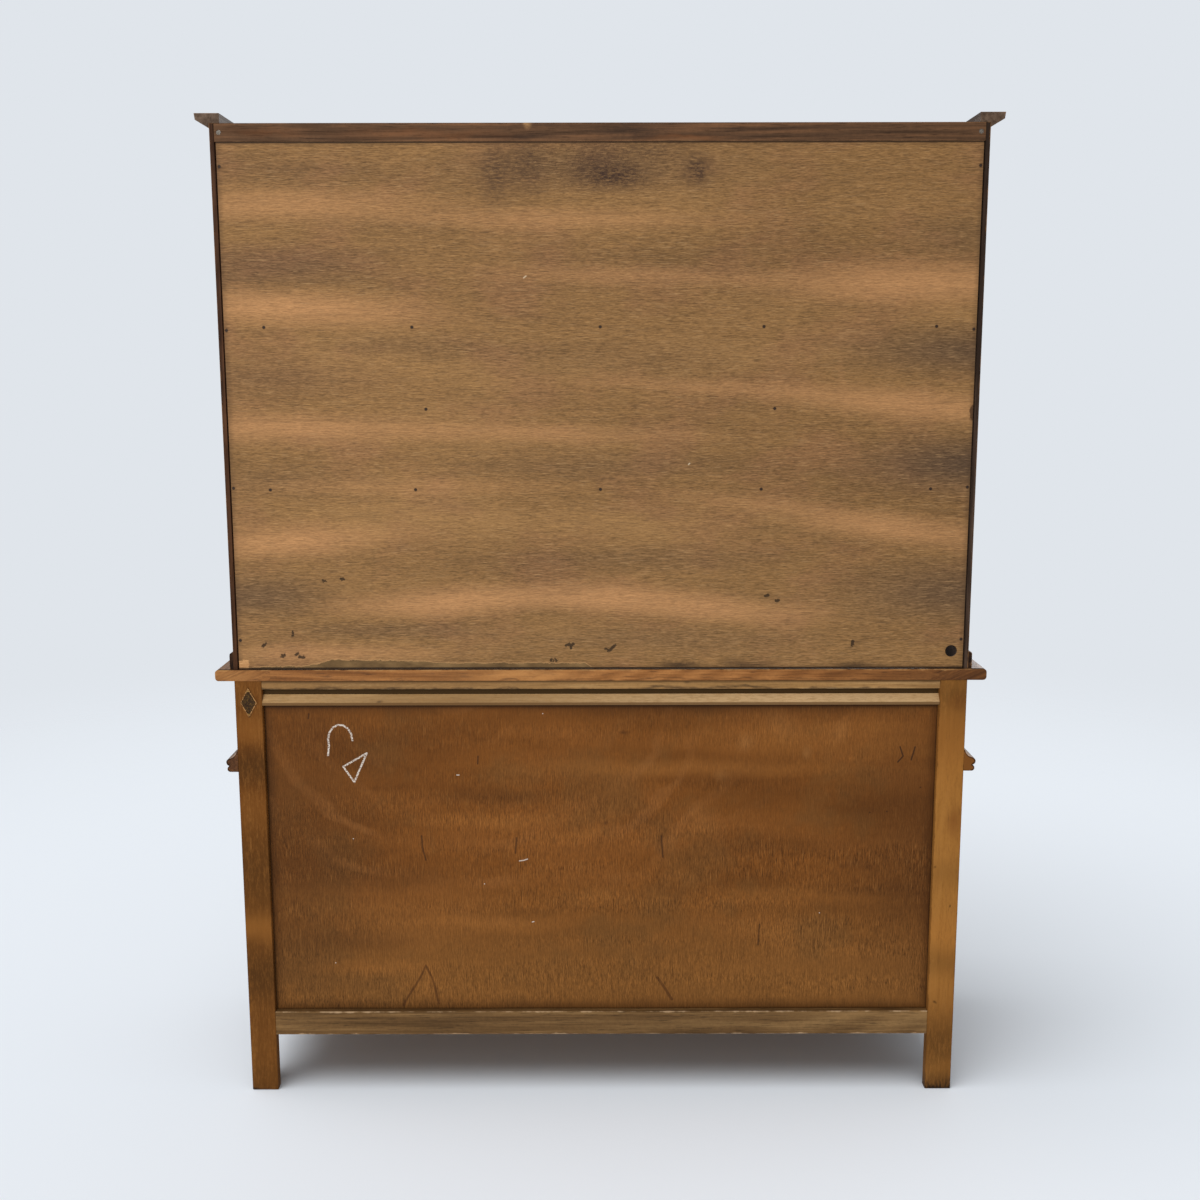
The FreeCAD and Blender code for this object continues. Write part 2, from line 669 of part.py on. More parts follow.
# Butt hinge: the fixed leaf carries the pin and the outer knuckles, the door's leaf the middle knuckle
def hinge(axis_x, face, middle_z, toward):
    axis_y = face - knuckle_radius - knuckle_clearance
    low = middle_z - hinge_length / 2
    third = hinge_length / 3
    slack = knuckle_clearance / 2
    upright = Vector(0, 0, 1)

    def strip(side, y, z):
        near = axis_x + side * hinge_leaf_gap / 2
        far = axis_x + side * hinge_gap / 2
        return block((min(near, far), max(near, far)), y, z)

    def knuckle(z):
        return Part.makeCylinder(knuckle_radius, z[1] - z[0], Vector(axis_x, axis_y, z[0]), upright)

    leaf_y = (face, face + hinge_leaf_depth)
    web_y = (axis_y, face)
    whole = (low, low + hinge_length)
    lower = (low, low + third - slack)
    middle = (low + third + slack, low + 2 * third - slack)
    upper = (low + 2 * third + slack, low + hinge_length)
    fixed = strip(-toward, leaf_y, whole)
    for z in (lower, upper):
        fixed = fixed.fuse([strip(-toward, web_y, z), knuckle(z)])
    pin = Part.makeCylinder(pin_radius, hinge_length, Vector(axis_x, axis_y, low), upright)
    fixed = fixed.fuse(pin).removeSplitter()
    bore = Part.makeCylinder(
        pin_radius + pin_clearance, hinge_length, Vector(axis_x, axis_y, low), upright)
    moving = strip(toward, leaf_y, whole).fuse([strip(toward, web_y, middle), knuckle(middle)])
    return fixed, moving.cut(bore).removeSplitter()


# Drawers: a raised front with a box behind it that slides on the runners
def drawer(name, middle_x):
    half = bay_width / 2 - drawer_gap
    front_x = (middle_x - half, middle_x + half)
    front_z = (drawer_zone_bottom + drawer_gap, drawer_zone_top - drawer_gap)
    front_back = front + drawer_front_thickness
    face = raised_panel(
        front_x, front_z, front_back, drawer_front_thickness - drawer_field_rise, drawer_field_rise,
        drawer_field_margin, drawer_field_bevel)
    low = drawer_zone_bottom + drawer_running_gap
    side_z = (low, drawer_zone_top - drawer_top_clearance)
    outer = bay_width / 2 - drawer_side_clearance
    inner = outer - drawer_side_thickness
    end = rear_rail_front - drawer_running_gap
    bottom_z = (low + drawer_bottom_rise, low + drawer_bottom_rise + drawer_bottom_thickness)
    housing = drawer_side_thickness / 2
    bottom_x = (middle_x - inner - housing, middle_x + inner + housing)
    bottom = block(bottom_x, (front_back - housing, end), bottom_z)
    knob_z = (front_z[0] + front_z[1]) / 2
    right_side = block((middle_x + inner, middle_x + outer), (front_back, end), side_z).cut(bottom)
    left_side = block((middle_x - outer, middle_x - inner), (front_back, end), side_z).cut(bottom)
    back_board = block(
        (middle_x - inner, middle_x + inner), (end - drawer_side_thickness, end),
        (bottom_z[1], side_z[1] - drawer_back_drop))
    nodes[name + "_front"] = [face.cut([bottom, knob_hole(middle_x, knob_z, front)])]
    nodes[name + "_box"] = [left_side, right_side, back_board, bottom]
    nodes[name + "_knob"] = [knob(middle_x, knob_z, front)]


drawer("drawer_left", -2 * muntin_centre)
drawer("drawer_middle", 0.0)
drawer("drawer_right", 2 * muntin_centre)


# Doors: stiles and rails grooved for a raised panel, hung on two butt hinges
def door(name, opening_x, opening_z, face, hinged, stile, inset, bevel):
    # hinged is -1 for hinges on the left edge and 1 for the right edge
    near = opening_x[0] + (hinge_gap if hinged < 0 else door_gap)
    far = opening_x[1] - (hinge_gap if hinged > 0 else door_gap)
    z = (opening_z[0] + door_gap, opening_z[1] - door_gap)
    y = (face, face + door_thickness)
    inner_x = (near + stile, far - stile)
    rail_boxes = [(inner_x, y, (z[0], z[0] + stile)), (inner_x, y, (z[1] - stile, z[1]))]
    panel_x = grown(inner_x, groove_depth - groove_play)
    panel_z = grown((z[0] + stile, z[1] - stile), groove_depth - groove_play)
    panel_back = face + door_panel_set_back + door_panel_edge
    groove = block(
        grown(panel_x, groove_play), (panel_back - door_panel_edge, panel_back), grown(panel_z, groove_play))
    cuts = [groove]
    for box in rail_boxes:
        cuts += tenons(box, 0, 1)
    knob_x = far - stile / 2 if hinged < 0 else near + stile / 2
    knob_z = (z[0] + z[1]) / 2
    cuts.append(knob_hole(knob_x, knob_z, face))
    stiles = [board((near, near + stile), y, z).cut(cuts), board((far - stile, far), y, z).cut(cuts)]
    rails = [tenoned(box, 0, 1).cut(groove) for box in rail_boxes]
    axis_x = opening_x[0] + hinge_gap / 2 if hinged < 0 else opening_x[1] - hinge_gap / 2
    fittings = [knob(knob_x, knob_z, face)]
    for middle_z in (z[0] + inset, z[1] - inset):
        fixed, moving = hinge(axis_x, face, middle_z, -hinged)
        nodes.setdefault("hinge_leaves", []).append(fixed)
        fittings.append(moving)
    nodes[name + "_frame"] = stiles + rails
    margin = door_field_margin + groove_depth
    nodes[name + "_panel"] = [
        raised_panel(panel_x, panel_z, panel_back, door_panel_edge, door_field_rise, margin, bevel)]
    nodes[name + "_fittings"] = fittings


door_zone = (rail_top, door_zone_top)
bay_left = (-opening_half, -muntin_x[1])
bay_right = (muntin_x[1], opening_half)
door("door_left", bay_left, door_zone, front, -1, door_stile_width, hinge_inset, door_field_bevel)
door("door_right", bay_right, door_zone, front, 1, door_stile_width, hinge_inset, door_field_bevel)
rack_zone = (lower_z[1], upper_z[0])
rack_bay_left = (-rack_inside, -partition_x[1])
rack_bay_right = (partition_x[1], rack_inside)
door("rack_door_left", rack_bay_left, rack_zone, rack_front, -1,
     rack_door_stile_width, rack_hinge_inset, rack_door_field_bevel)
door("rack_door_right", rack_bay_right, rack_zone, rack_front, 1,
     rack_door_stile_width, rack_hinge_inset, rack_door_field_bevel)

# One file for each node
os.makedirs("parts", exist_ok=True)
for name, pieces in nodes.items():
    solids = [solid for piece in pieces for solid in piece.Solids]
    shape = solids[0] if len(solids) == 1 else Part.makeCompound(solids)
    shape.exportStep("parts/" + name + ".step")
    print(name, len(solids), all(solid.isValid() for solid in solids))
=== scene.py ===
import math

import bmesh
import bpy
from mathutils import Matrix, Vector


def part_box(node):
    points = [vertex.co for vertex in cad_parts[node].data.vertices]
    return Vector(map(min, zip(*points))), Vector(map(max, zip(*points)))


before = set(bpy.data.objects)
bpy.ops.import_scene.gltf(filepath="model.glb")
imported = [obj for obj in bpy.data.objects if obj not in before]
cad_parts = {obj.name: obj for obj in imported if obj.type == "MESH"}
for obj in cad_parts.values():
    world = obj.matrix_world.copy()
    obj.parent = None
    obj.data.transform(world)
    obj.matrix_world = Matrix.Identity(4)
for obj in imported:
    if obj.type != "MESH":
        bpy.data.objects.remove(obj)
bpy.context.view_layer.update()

# Plywood back of the base: one thin sheet with its face grain upright, slid into grooves in the rear legs and
# the bottom rail. Stain was sprayed over it in sweeps from side to side, so its colour drifts in soft bands.
# A joiner's chalk arch and triangle, two pencil ticks and a few scratches mark the outside.


def tint(red, green, blue):
    # A colour as the eye sees it, 0 to 255, in the linear values that a shader takes.
    return [((part / 255 + 0.055) / 1.055) ** 2.4 for part in (red, green, blue)] + [1.0]


def feed(node, inputs):
    # Sets or links the inputs of a shader node.
    for name, value in inputs.items():
        if isinstance(value, bpy.types.NodeSocket):
            node.id_data.links.new(value, node.inputs[name])
        else:
            node.inputs[name].default_value = value


def put(kind, inputs, tree=None, **settings):
    # Adds one shader node with its settings and feeds it. It goes into a given tree, or where its inputs are.
    if not tree:
        tree = next(value.id_data for value in inputs.values() if isinstance(value, bpy.types.NodeSocket))
    node = tree.nodes.new("ShaderNode" + kind)
    for name, value in settings.items():
        setattr(node, name, value)
    feed(node, inputs)
    return node


def sums(operation, *values, clamp=False):
    return put("Math", dict(enumerate(values)), operation=operation, use_clamp=clamp).outputs[0]


def times(first, second):
    return sums("MULTIPLY", first, second)


def vectors(operation, *values):
    # A sum on places or ways, which gives a place or a way.
    return put("VectorMath", dict(enumerate(values)), operation=operation).outputs[0]


def measured(operation, *values):
    # A sum on places or ways, which gives one value.
    return put("VectorMath", dict(enumerate(values)), operation=operation).outputs["Value"]


def parted(place):
    return put("SeparateXYZ", {0: place}).outputs


def joined(x=0.0, y=0.0, z=0.0):
    return put("CombineXYZ", {0: x, 1: y, 2: z}).outputs[0]


def ranged(value, low, high, to_low=0.0, to_high=1.0, soft="SMOOTHSTEP"):
    # Takes a value from one range to another, and holds it at the ends.
    limits = {"Value": value, "From Min": low, "From Max": high, "To Min": to_low, "To Max": to_high}
    return put("MapRange", limits, interpolation_type=soft).outputs[0]


def mixed(share, under, over, how="MIX"):
    return put("Mix", {0: share, 6: under, 7: over}, data_type="RGBA", blend_type=how).outputs[2]


def laid(colour, stain, mask, strength):
    # Lays a stain over a colour where a mask lets it through.
    return mixed(times(mask, strength), colour, stain)


def shaded(colour, value, depth):
    # Darkens and lightens a colour by a value from 0 to 1, and keeps its hue.
    factor = ranged(value, 0.0, 1.0, 1.0 - depth, 1.0 + depth, "LINEAR")
    return mixed(1.0, colour, factor, "MULTIPLY")


def cloudy(place, scale, detail=2.0, roughness=0.55):
    # Soft noise, stretched where each axis has a scale of its own.
    scale = scale if isinstance(scale, tuple) else (scale, scale, scale)
    settings = {"Vector": vectors("MULTIPLY", place, scale), "Scale": 1.0}
    return put("TexNoise", dict(settings, Detail=detail, Roughness=roughness)).outputs[0]


def bent(place, scale, amount, detail=2.0, roughness=0.55):
    # Shifts a place to and fro by soft noise, so that what is drawn there wanders.
    sway = sums("SUBTRACT", cloudy(place, scale, detail, roughness), 0.5)
    return vectors("ADD", place, vectors("MULTIPLY", sway, amount))


def graded(value, *stops):
    # Colours that follow a value, from stop to stop.
    ramp = put("ValToRGB", {0: value})
    marks = ramp.color_ramp.elements
    while len(marks) < len(stops):
        marks.new(0.5)
    for mark, (position, colour) in zip(marks, stops):
        mark.position = position
        mark.color = colour
    return ramp.outputs[0]


def effect(name, places, values, gives):
    # Starts a node group that takes named places and values and gives named values.
    group = bpy.data.node_groups.new(name, "ShaderNodeTree")
    for way, kind, sockets in (
            ("INPUT", "Vector", places), ("INPUT", "Float", values), ("OUTPUT", "Float", gives)):
        for socket in sockets.split():
            group.interface.new_socket(name=socket, in_out=way, socket_type="NodeSocket" + kind)
    return group, group.nodes.new("NodeGroupInput").outputs, group.nodes.new("NodeGroupOutput")


def using(group, **inputs):
    return put("Group", inputs, node_tree=group).outputs


def blank_finish(name):
    # An empty material with its Principled shader, and the place on the piece in metres.
    material = bpy.data.materials.new(name)
    material.use_nodes = True
    tree = material.node_tree
    tree.nodes.clear()
    shader = put("BsdfPrincipled", {}, tree)
    put("OutputMaterial", {0: shader.outputs[0]})
    return material, shader, put("TexCoord", {}, tree).outputs["Object"]


def set_on(node, **inputs):
    feed(node, {name.replace("_", " "): value for name, value in inputs.items()})


def raised(height, depth, strength):
    return put("Bump", {"Height": height, "Distance": depth, "Strength": strength}).outputs[0]


def dress(node, material):
    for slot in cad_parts[node].material_slots:
        slot.material = material


# Plywood face, X along the grain: short dashes, longer streaks, dark pores, and flecks that took no stain.
veneer_grain, taken, given = effect("veneer_grain", "Vector", "", "Dash Streak Pore Fleck")
way = bent(taken["Vector"], (2.4, 3.0, 3.0), (0.0, 0.012, 0.012))
dash = cloudy(way, (120.0, 950.0, 950.0), 2.0, 0.6)
line = cloudy(vectors("ADD", way, (1.9, 0.7, 2.3)), (36.0, 840.0, 840.0), 2.0, 0.6)
dash = sums("ADD", times(dash, 0.58), times(line, 0.42))
dash = ranged(dash, 0.35, 0.65, soft="LINEAR")
set_on(given, Dash=dash, Streak=cloudy(way, (6.0, 130.0, 130.0), 3.0, 0.6))
for name, apart, scale, low, high in (
        ("Pore", (5.3, 2.9, 1.3), (48.0, 820.0, 820.0), 0.56, 0.66),
        ("Fleck", (3.1, 1.7, 0.9), (44.0, 820.0, 820.0), 0.57, 0.67)):
    spots = cloudy(vectors("ADD", way, apart), scale)
    feed(given, {name: ranged(spots, low, high)})


def onward(place, start, way):
    # How far a place lies from a start, measured along one way.
    here = measured("DOT_PRODUCT", place, way)
    return sums("SUBTRACT", here, measured("DOT_PRODUCT", start, way))


def slantwise(first, second):
    # The straight distance that two lengths at right angles make.
    return sums("SQRT", sums("ADD", times(first, first), times(second, second)))


def within(taken):
    # How far a place lies inside a box, along each axis.
    above = vectors("SUBTRACT", taken["Vector"], taken["Low"])
    return vectors("MINIMUM", above, vectors("SUBTRACT", taken["High"], taken["Vector"]))


# Sweep of a spray gun: a soft long patch with a centre, half sizes and a tilt in the plane of the back.
stain_sweep, taken, given = effect("stain_sweep", "Vector Centre", "Long High Tilt", "Mask")
level = sums("COSINE", taken["Tilt"])
rise = sums("SINE", taken["Tilt"])
along = onward(taken["Vector"], taken["Centre"], joined(level, 0.0, rise))
across = onward(taken["Vector"], taken["Centre"], joined(times(rise, -1.0), 0.0, level))
far = slantwise(sums("DIVIDE", along, taken["Long"]), sums("DIVIDE", across, taken["High"]))
set_on(given, Mask=ranged(far, 1.0, 0.0))

# Painted shade and dirt along the edges of a framed panel.
frame_shade_and_dirt, taken, given = effect("frame_shade_and_dirt", "Vector Low High", "Reach", "Mask")
gap = parted(within(taken))
nearest = sums("MINIMUM", gap[0], gap[2])
uneven = sums("SUBTRACT", cloudy(taken["Vector"], 9.0, 3.0), 0.5)
nearest = sums("ADD", nearest, times(uneven, taken["Reach"]))
set_on(given, Mask=ranged(nearest, taken["Reach"], 0.0))

# Thin line from one point to another in the plane of the back, for scratches and for chalk and pencil.
scored_line, taken, given = effect("scored_line", "Vector From To", "Width", "Mask")
whole = vectors("SUBTRACT", taken["To"], taken["From"])
ahead = vectors("NORMALIZE", whole)
along = onward(taken["Vector"], taken["From"], ahead)
beyond = sums("SUBTRACT", along, measured("LENGTH", whole))
past = sums("MAXIMUM", times(along, -1.0), beyond)
aside = onward(taken["Vector"], taken["From"], vectors("CROSS_PRODUCT", ahead, (0.0, 1.0, 0.0)))
off_line = slantwise(sums("MAXIMUM", past, 0.0), aside)
set_on(given, Mask=ranged(sums("DIVIDE", off_line, taken["Width"]), 0.62, 0.28))


def swept(place, x, z, long, high, tilt=0.0):
    # The mask of one sweep, from its centre, half length, half height and tilt.
    return using(stain_sweep, Vector=place, Centre=(x, 0.0, z), Long=long, High=high, Tilt=tilt)["Mask"]


def sprayed(colour, place, stain, sweeps):
    # Lays sweeps of one stain over a colour. A sweep is (x, z, half length, half height, strength), and one
    # that isn't level ends with its tilt.
    for x, z, long, high, strength, *tilt in sweeps:
        colour = laid(colour, stain, swept(place, x, z, long, high, *tilt), strength)
    return colour


def scored(place, width, *lines):
    # The mask of thin lines, each a row of (x, z) points. A row of one point is a dot.
    dot = 0.0001
    mask = 0.0
    for line in lines:
        for start, end in zip(line, line[1:] or line):
            stroke = using(
                scored_line, Vector=place, Width=width, From=(start[0], 0.0, start[1]),
                To=(end[0] + dot, 0.0, end[1]))
            mask = sums("MAXIMUM", stroke["Mask"], mask)
    return mask


def grained(colour, grain, share, depth):
    # Darkens and lightens a colour by the dashes of the veneer, by a share that changes over the sheet.
    swing = sums("MULTIPLY_ADD", sums("SUBTRACT", grain["Dash"], 0.5), share, 0.5)
    return shaded(colour, swing, depth)


def outer_face(y, sheet_high):
    # The mask of a sheet's outer face, the only one that was sprayed.
    return ranged(y, sheet_high.y - 0.0012, sheet_high.y - 0.0008)


def veneer_height(grain):
    return sums("SUBTRACT", times(grain["Dash"], 0.6), times(grain["Pore"], 0.5))


base_low, base_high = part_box("base_back_panel")
sight_low = (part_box("rear_leg_left")[1].x, base_low.y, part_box("back_bottom_rail")[1].z)
sight_high = (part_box("rear_leg_right")[0].x, base_high.y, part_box("back_batten")[0].z)
base_ply, shader, place = blank_finish("base_ply_finish")
x, y, z = parted(place)
grain = using(veneer_grain, Vector=joined(z, x, y))
drift = cloudy(place, (1.8, 1.0, 7.0), 4.0, 0.6)
colour = graded(
    drift, (0.32, tint(100, 58, 20)), (0.46, tint(116, 69, 26)), (0.58, tint(124, 75, 31)),
    (0.70, tint(136, 85, 37)))
colour = mixed(ranged(z, 0.46, 0.18, 0.0, 0.60), colour, tint(128, 86, 41))
mottled = cloudy(vectors("ADD", place, (4.0, 0.0, 2.0)), 7.0, 4.0, 0.6)
colour = mixed(ranged(mottled, 0.48, 0.66, 0.0, 0.45), colour, tint(104, 70, 34))
warped = bent(place, 5.0, (0.10, 0.0, 0.04))
colour = sprayed(colour, warped, tint(150, 96, 44), [
    (-0.160, 0.620, 0.46, 0.026, 0.48), (0.190, 0.515, 0.20, 0.022, 0.40), (0.000, 0.372, 0.16, 0.032, 0.35),
    (0.210, 0.324, 0.22, 0.022, 0.40), (0.420, 0.236, 0.18, 0.022, 0.45), (-0.360, 0.372, 0.24, 0.028, 0.30),
    (-0.330, 0.672, 0.30, 0.050, 0.35)])
colour = sprayed(colour, warped, tint(78, 46, 18), [
    (0.180, 0.562, 0.24, 0.024, 0.45), (-0.310, 0.468, 0.22, 0.042, 0.38), (0.590, 0.450, 0.30, 0.440, 0.66),
    (-0.590, 0.480, 0.22, 0.400, 0.62), (0.400, 0.412, 0.22, 0.042, 0.42), (0.450, 0.285, 0.20, 0.032, 0.38),
    (-0.105, 0.477, 0.014, 0.040, 0.45), (-0.090, 0.525, 0.08, 0.032, 0.30),
    (-0.470, 0.440, 0.030, 0.018, 0.40), (0.050, 0.165, 0.70, 0.024, 0.15),
    # The last sweep, at the top of the sheet, is painted shade under the batten.
    (-0.250, 0.738, 0.55, 0.050, 0.45)])
colour = sprayed(colour, warped, tint(160, 112, 64), [
    (-0.255, 0.668, 0.026, 0.026, 0.24, 0.30), (-0.372, 0.646, 0.018, 0.020, 0.26),
    (-0.216, 0.604, 0.020, 0.018, 0.20), (-0.430, 0.690, 0.030, 0.040, 0.18, 0.40),
    (-0.320, 0.700, 0.050, 0.040, 0.15, 0.50), (-0.190, 0.520, 0.050, 0.040, 0.14)])
colour = sprayed(colour, place, tint(62, 34, 13), [
    (-0.042, 0.685, 0.016, 0.006, 0.55), (-0.008, 0.515, 0.006, 0.007, 0.70),
    (-0.488, 0.431, 0.020, 0.012, 0.40), (-0.448, 0.433, 0.026, 0.010, 0.30)])

# Faint rings of the log round one place near the top, then the grain, which shows most where stain is thin.
ring_centre = (0.255, 0.0, 0.765)
ring_radians_in_a_metre = 95.0
out_from_centre = vectors("MULTIPLY", vectors("SUBTRACT", warped, ring_centre), (0.85, 0.0, 1.0))
out_from_centre = measured("LENGTH", out_from_centre)
turns = times(out_from_centre, ring_radians_in_a_metre)
ring = sums("SINE", sums("ADD", turns, times(drift, 9.0)))
ring = times(ranged(ring, 0.35, 1.0), ranged(cloudy(place, 4.0), 0.42, 0.66))
ring = times(ring, ranged(out_from_centre, 0.60, 0.35, 0.0, 0.26))
colour = mixed(ring, colour, tint(150, 98, 52))
bare = ranged(z, 0.66, 0.40, 0.52, 1.0)
banded = cloudy(place, (2.0, 2.0, 16.0), 3.0)
bare = times(bare, ranged(banded, 0.36, 0.62, 0.4, 1.0))
colour = grained(colour, grain, bare, 0.64)
colour = laid(colour, tint(74, 46, 21), grain["Pore"], times(bare, 0.55))
colour = laid(colour, tint(166, 112, 57), grain["Fleck"], times(bare, 0.40))

# Painted shade with dirt along the grooves, a thin line of painted shade where the sheet meets them, painted
# shade under the batten and in the gap above it, and the scratches, pencil and chalk on the outside.
edge_shade_and_dirt = using(frame_shade_and_dirt, Vector=place, Low=sight_low, High=sight_high, Reach=0.024)["Mask"]
colour = laid(colour, tint(58, 34, 14), edge_shade_and_dirt, 0.50)
# A thin line of painted shade along the grooves.
seam_shade = using(frame_shade_and_dirt, Vector=place, Low=sight_low, High=sight_high, Reach=0.0042)["Mask"]
colour = laid(colour, tint(38, 24, 11), seam_shade, 0.60)
under_batten = ranged(z, sight_high[2] - 0.012, sight_high[2] - 0.001, 0.0, 0.84)
colour = mixed(under_batten, colour, tint(38, 20, 5))
# Painted shade on the strip of plywood seen in the gap between the top rail and the batten.
batten_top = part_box("back_batten")[1].z
colour = mixed(ranged(z, batten_top - 0.004, batten_top, 0.0, 0.70), colour, tint(66, 47, 18))
knotted = scored(
    warped, 0.0052, [(0.362, 0.160), (0.338, 0.205), (0.320, 0.238), (0.304, 0.212), (0.288, 0.160)],
    [(-0.104, 0.216), (-0.122, 0.190), (-0.134, 0.172)])
colour = laid(colour, tint(60, 32, 15), knotted, 0.55)
scratches = scored(
    place, 0.0034, [(0.3275, 0.491), (0.3262, 0.468), (0.3205, 0.445)], [(0.1544, 0.487), (0.1565, 0.458)],
    [(-0.292, 0.320), (-0.290, 0.280)], [(-0.110, 0.490), (-0.113, 0.450)], [(-0.5795, 0.5811)],
    [(-0.489, 0.534)], [(-0.520, 0.536)], [(0.525, 0.720), (0.526, 0.712)], [(0.222, 0.641), (0.223, 0.627)])
colour = laid(colour, tint(44, 27, 16), scratches, 0.62)
pencil = scored(
    place, 0.0030, [(-0.540, 0.657), (-0.546, 0.640), (-0.537, 0.629)], [(-0.567, 0.657), (-0.561, 0.633)])
colour = laid(colour, tint(42, 28, 20), pencil, 0.75)
arch = [(0.470 + 0.022 * math.cos(turn), 0.671 + 0.029 * math.sin(turn))
        for turn in (math.radians(degrees) for degrees in range(-20, 181, 25))]
triangle = [(0.466, 0.622), (0.423, 0.647), (0.447, 0.593), (0.466, 0.622)]
chalk = scored(place, 0.0036, [(0.493, 0.643)] + arch, triangle)
crumbs = ranged(cloudy(place, 420.0, 3.0, 0.7), 0.38, 0.56)
chalk = times(chalk, times(crumbs, 0.92))
nicks = scored(
    place, 0.0021, [(0.1494, 0.4431), (0.1420, 0.4440), (0.1345, 0.4465)], [(0.214, 0.399)],
    [(0.492, 0.246)], [(0.452, 0.486)], [(-0.402, 0.342)], [(0.1045, 0.720)],
    [(0.261, 0.606), (0.257, 0.606)], [(0.127, 0.325), (0.124, 0.326)])
chalk = sums("MAXIMUM", chalk, times(nicks, 0.65))
colour = mixed(chalk, colour, tint(226, 216, 204))
unstained = graded(
    grain["Streak"], (0.34, tint(128, 92, 56)), (0.50, tint(142, 104, 65)), (0.66, tint(156, 118, 77)))
outside = outer_face(y, base_high)
colour = mixed(outside, shaded(unstained, grain["Dash"], 0.12), colour)
set_on(
    shader, Base_Color=colour, Roughness=ranged(drift, 0.3, 0.7, 0.46, 0.60, "LINEAR"),
    Specular_IOR_Level=0.08, Normal=raised(veneer_height(grain), 0.0003, 0.30))
dress("base_back_panel", base_ply)

# Floor of the cupboard: a sheet of the same plywood, laid loose on battens, never sprayed and a little paler.
# Its grain runs from side to side.
floor_ply, shader, place = blank_finish("floor_ply_finish")
grain = using(veneer_grain, Vector=place)
colour = graded(
    cloudy(place, (1.5, 4.0, 4.0), 3.0), (0.3, tint(120, 82, 48)), (0.5, tint(138, 98, 60)),
    (0.7, tint(152, 112, 72)))
colour = shaded(colour, grain["Dash"], 0.16)
colour = laid(colour, tint(88, 58, 32), grain["Pore"], 0.5)
set_on(
    shader, Base_Color=colour, Roughness=ranged(grain["Streak"], 0.3, 0.7, 0.55, 0.70, "LINEAR"),
    Specular_IOR_Level=0.16, Normal=raised(grain["Streak"], 0.0003, 0.3))
dress("cupboard_floor", floor_ply)

# Rear legs: flat oak boards that run from the worktop to the floor. They were sprayed with the back, so dark
# sweeps cross them, their arrises are dark with old stain and their feet are scuffed, with a black rim of
# painted shade where they meet the floor.
board_grain, taken, given = effect("board_grain", "Vector", "Seed", "Tone Pore Height")
shift = vectors("MULTIPLY", joined(*[taken["Seed"]] * 3), (1.37, 0.61, 0.43))
along = vectors("ADD", taken["Vector"], shift)
streak = cloudy(along, (3.6, 150.0, 150.0), 3.0, 0.62)
broad = cloudy(along, (0.8, 15.0, 15.0))
flame = cloudy(along, (0.75, 6.5, 6.5), 0.5)
flame = sums("SINE", sums("ADD", times(flame, 150.0), times(streak, 4.0)))
flame = times(flame, ranged(broad, 0.40, 0.62, 0.012, 0.05))
tone = sums("ADD", times(streak, 0.52), times(broad, 0.48))
tone = sums("ADD", tone, flame)
pore = ranged(cloudy(along, (28.0, 520.0, 520.0)), 0.57, 0.69)
set_on(given, Tone=tone, Pore=pore, Height=sums("SUBTRACT", times(tone, 0.6), pore))

# Arris band: how near a point of a board is to one of its edges, broken up along the length. The tone laid
# there is the board's own wear and old stain on most boards, and a painted highlight on the bottom rail.
arris_band, taken, given = effect("arris_band", "Vector Low High", "Reach", "Mask")
gap = parted(vectors("ABSOLUTE", within(taken)))
smaller = sums("MINIMUM", gap[0], gap[1])
larger = sums("MAXIMUM", gap[0], gap[1])
second_nearest = sums("MAXIMUM", smaller, sums("MINIMUM", larger, gap[2]))
patchy = sums("SUBTRACT", cloudy(taken["Vector"], 38.0, 3.0, 0.65), 0.42)
patchy = times(patchy, times(taken["Reach"], 4.0))
set_on(given, Mask=ranged(sums("ADD", second_nearest, patchy), taken["Reach"], 0.0))

honey_oak = dict(
    dark=tint(112, 70, 30), middle=tint(135, 87, 39), light=tint(158, 107, 53), pore=tint(84, 52, 24),
    at_arris=tint(88, 55, 24), gloss=(0.44, 0.60), shine=0.05)
dark_oak = dict(
    dark=tint(58, 34, 19), middle=tint(88, 55, 31), light=tint(119, 78, 45), pore=tint(36, 22, 13),
    at_arris=tint(150, 106, 64), gloss=(0.36, 0.54), shine=0.24)


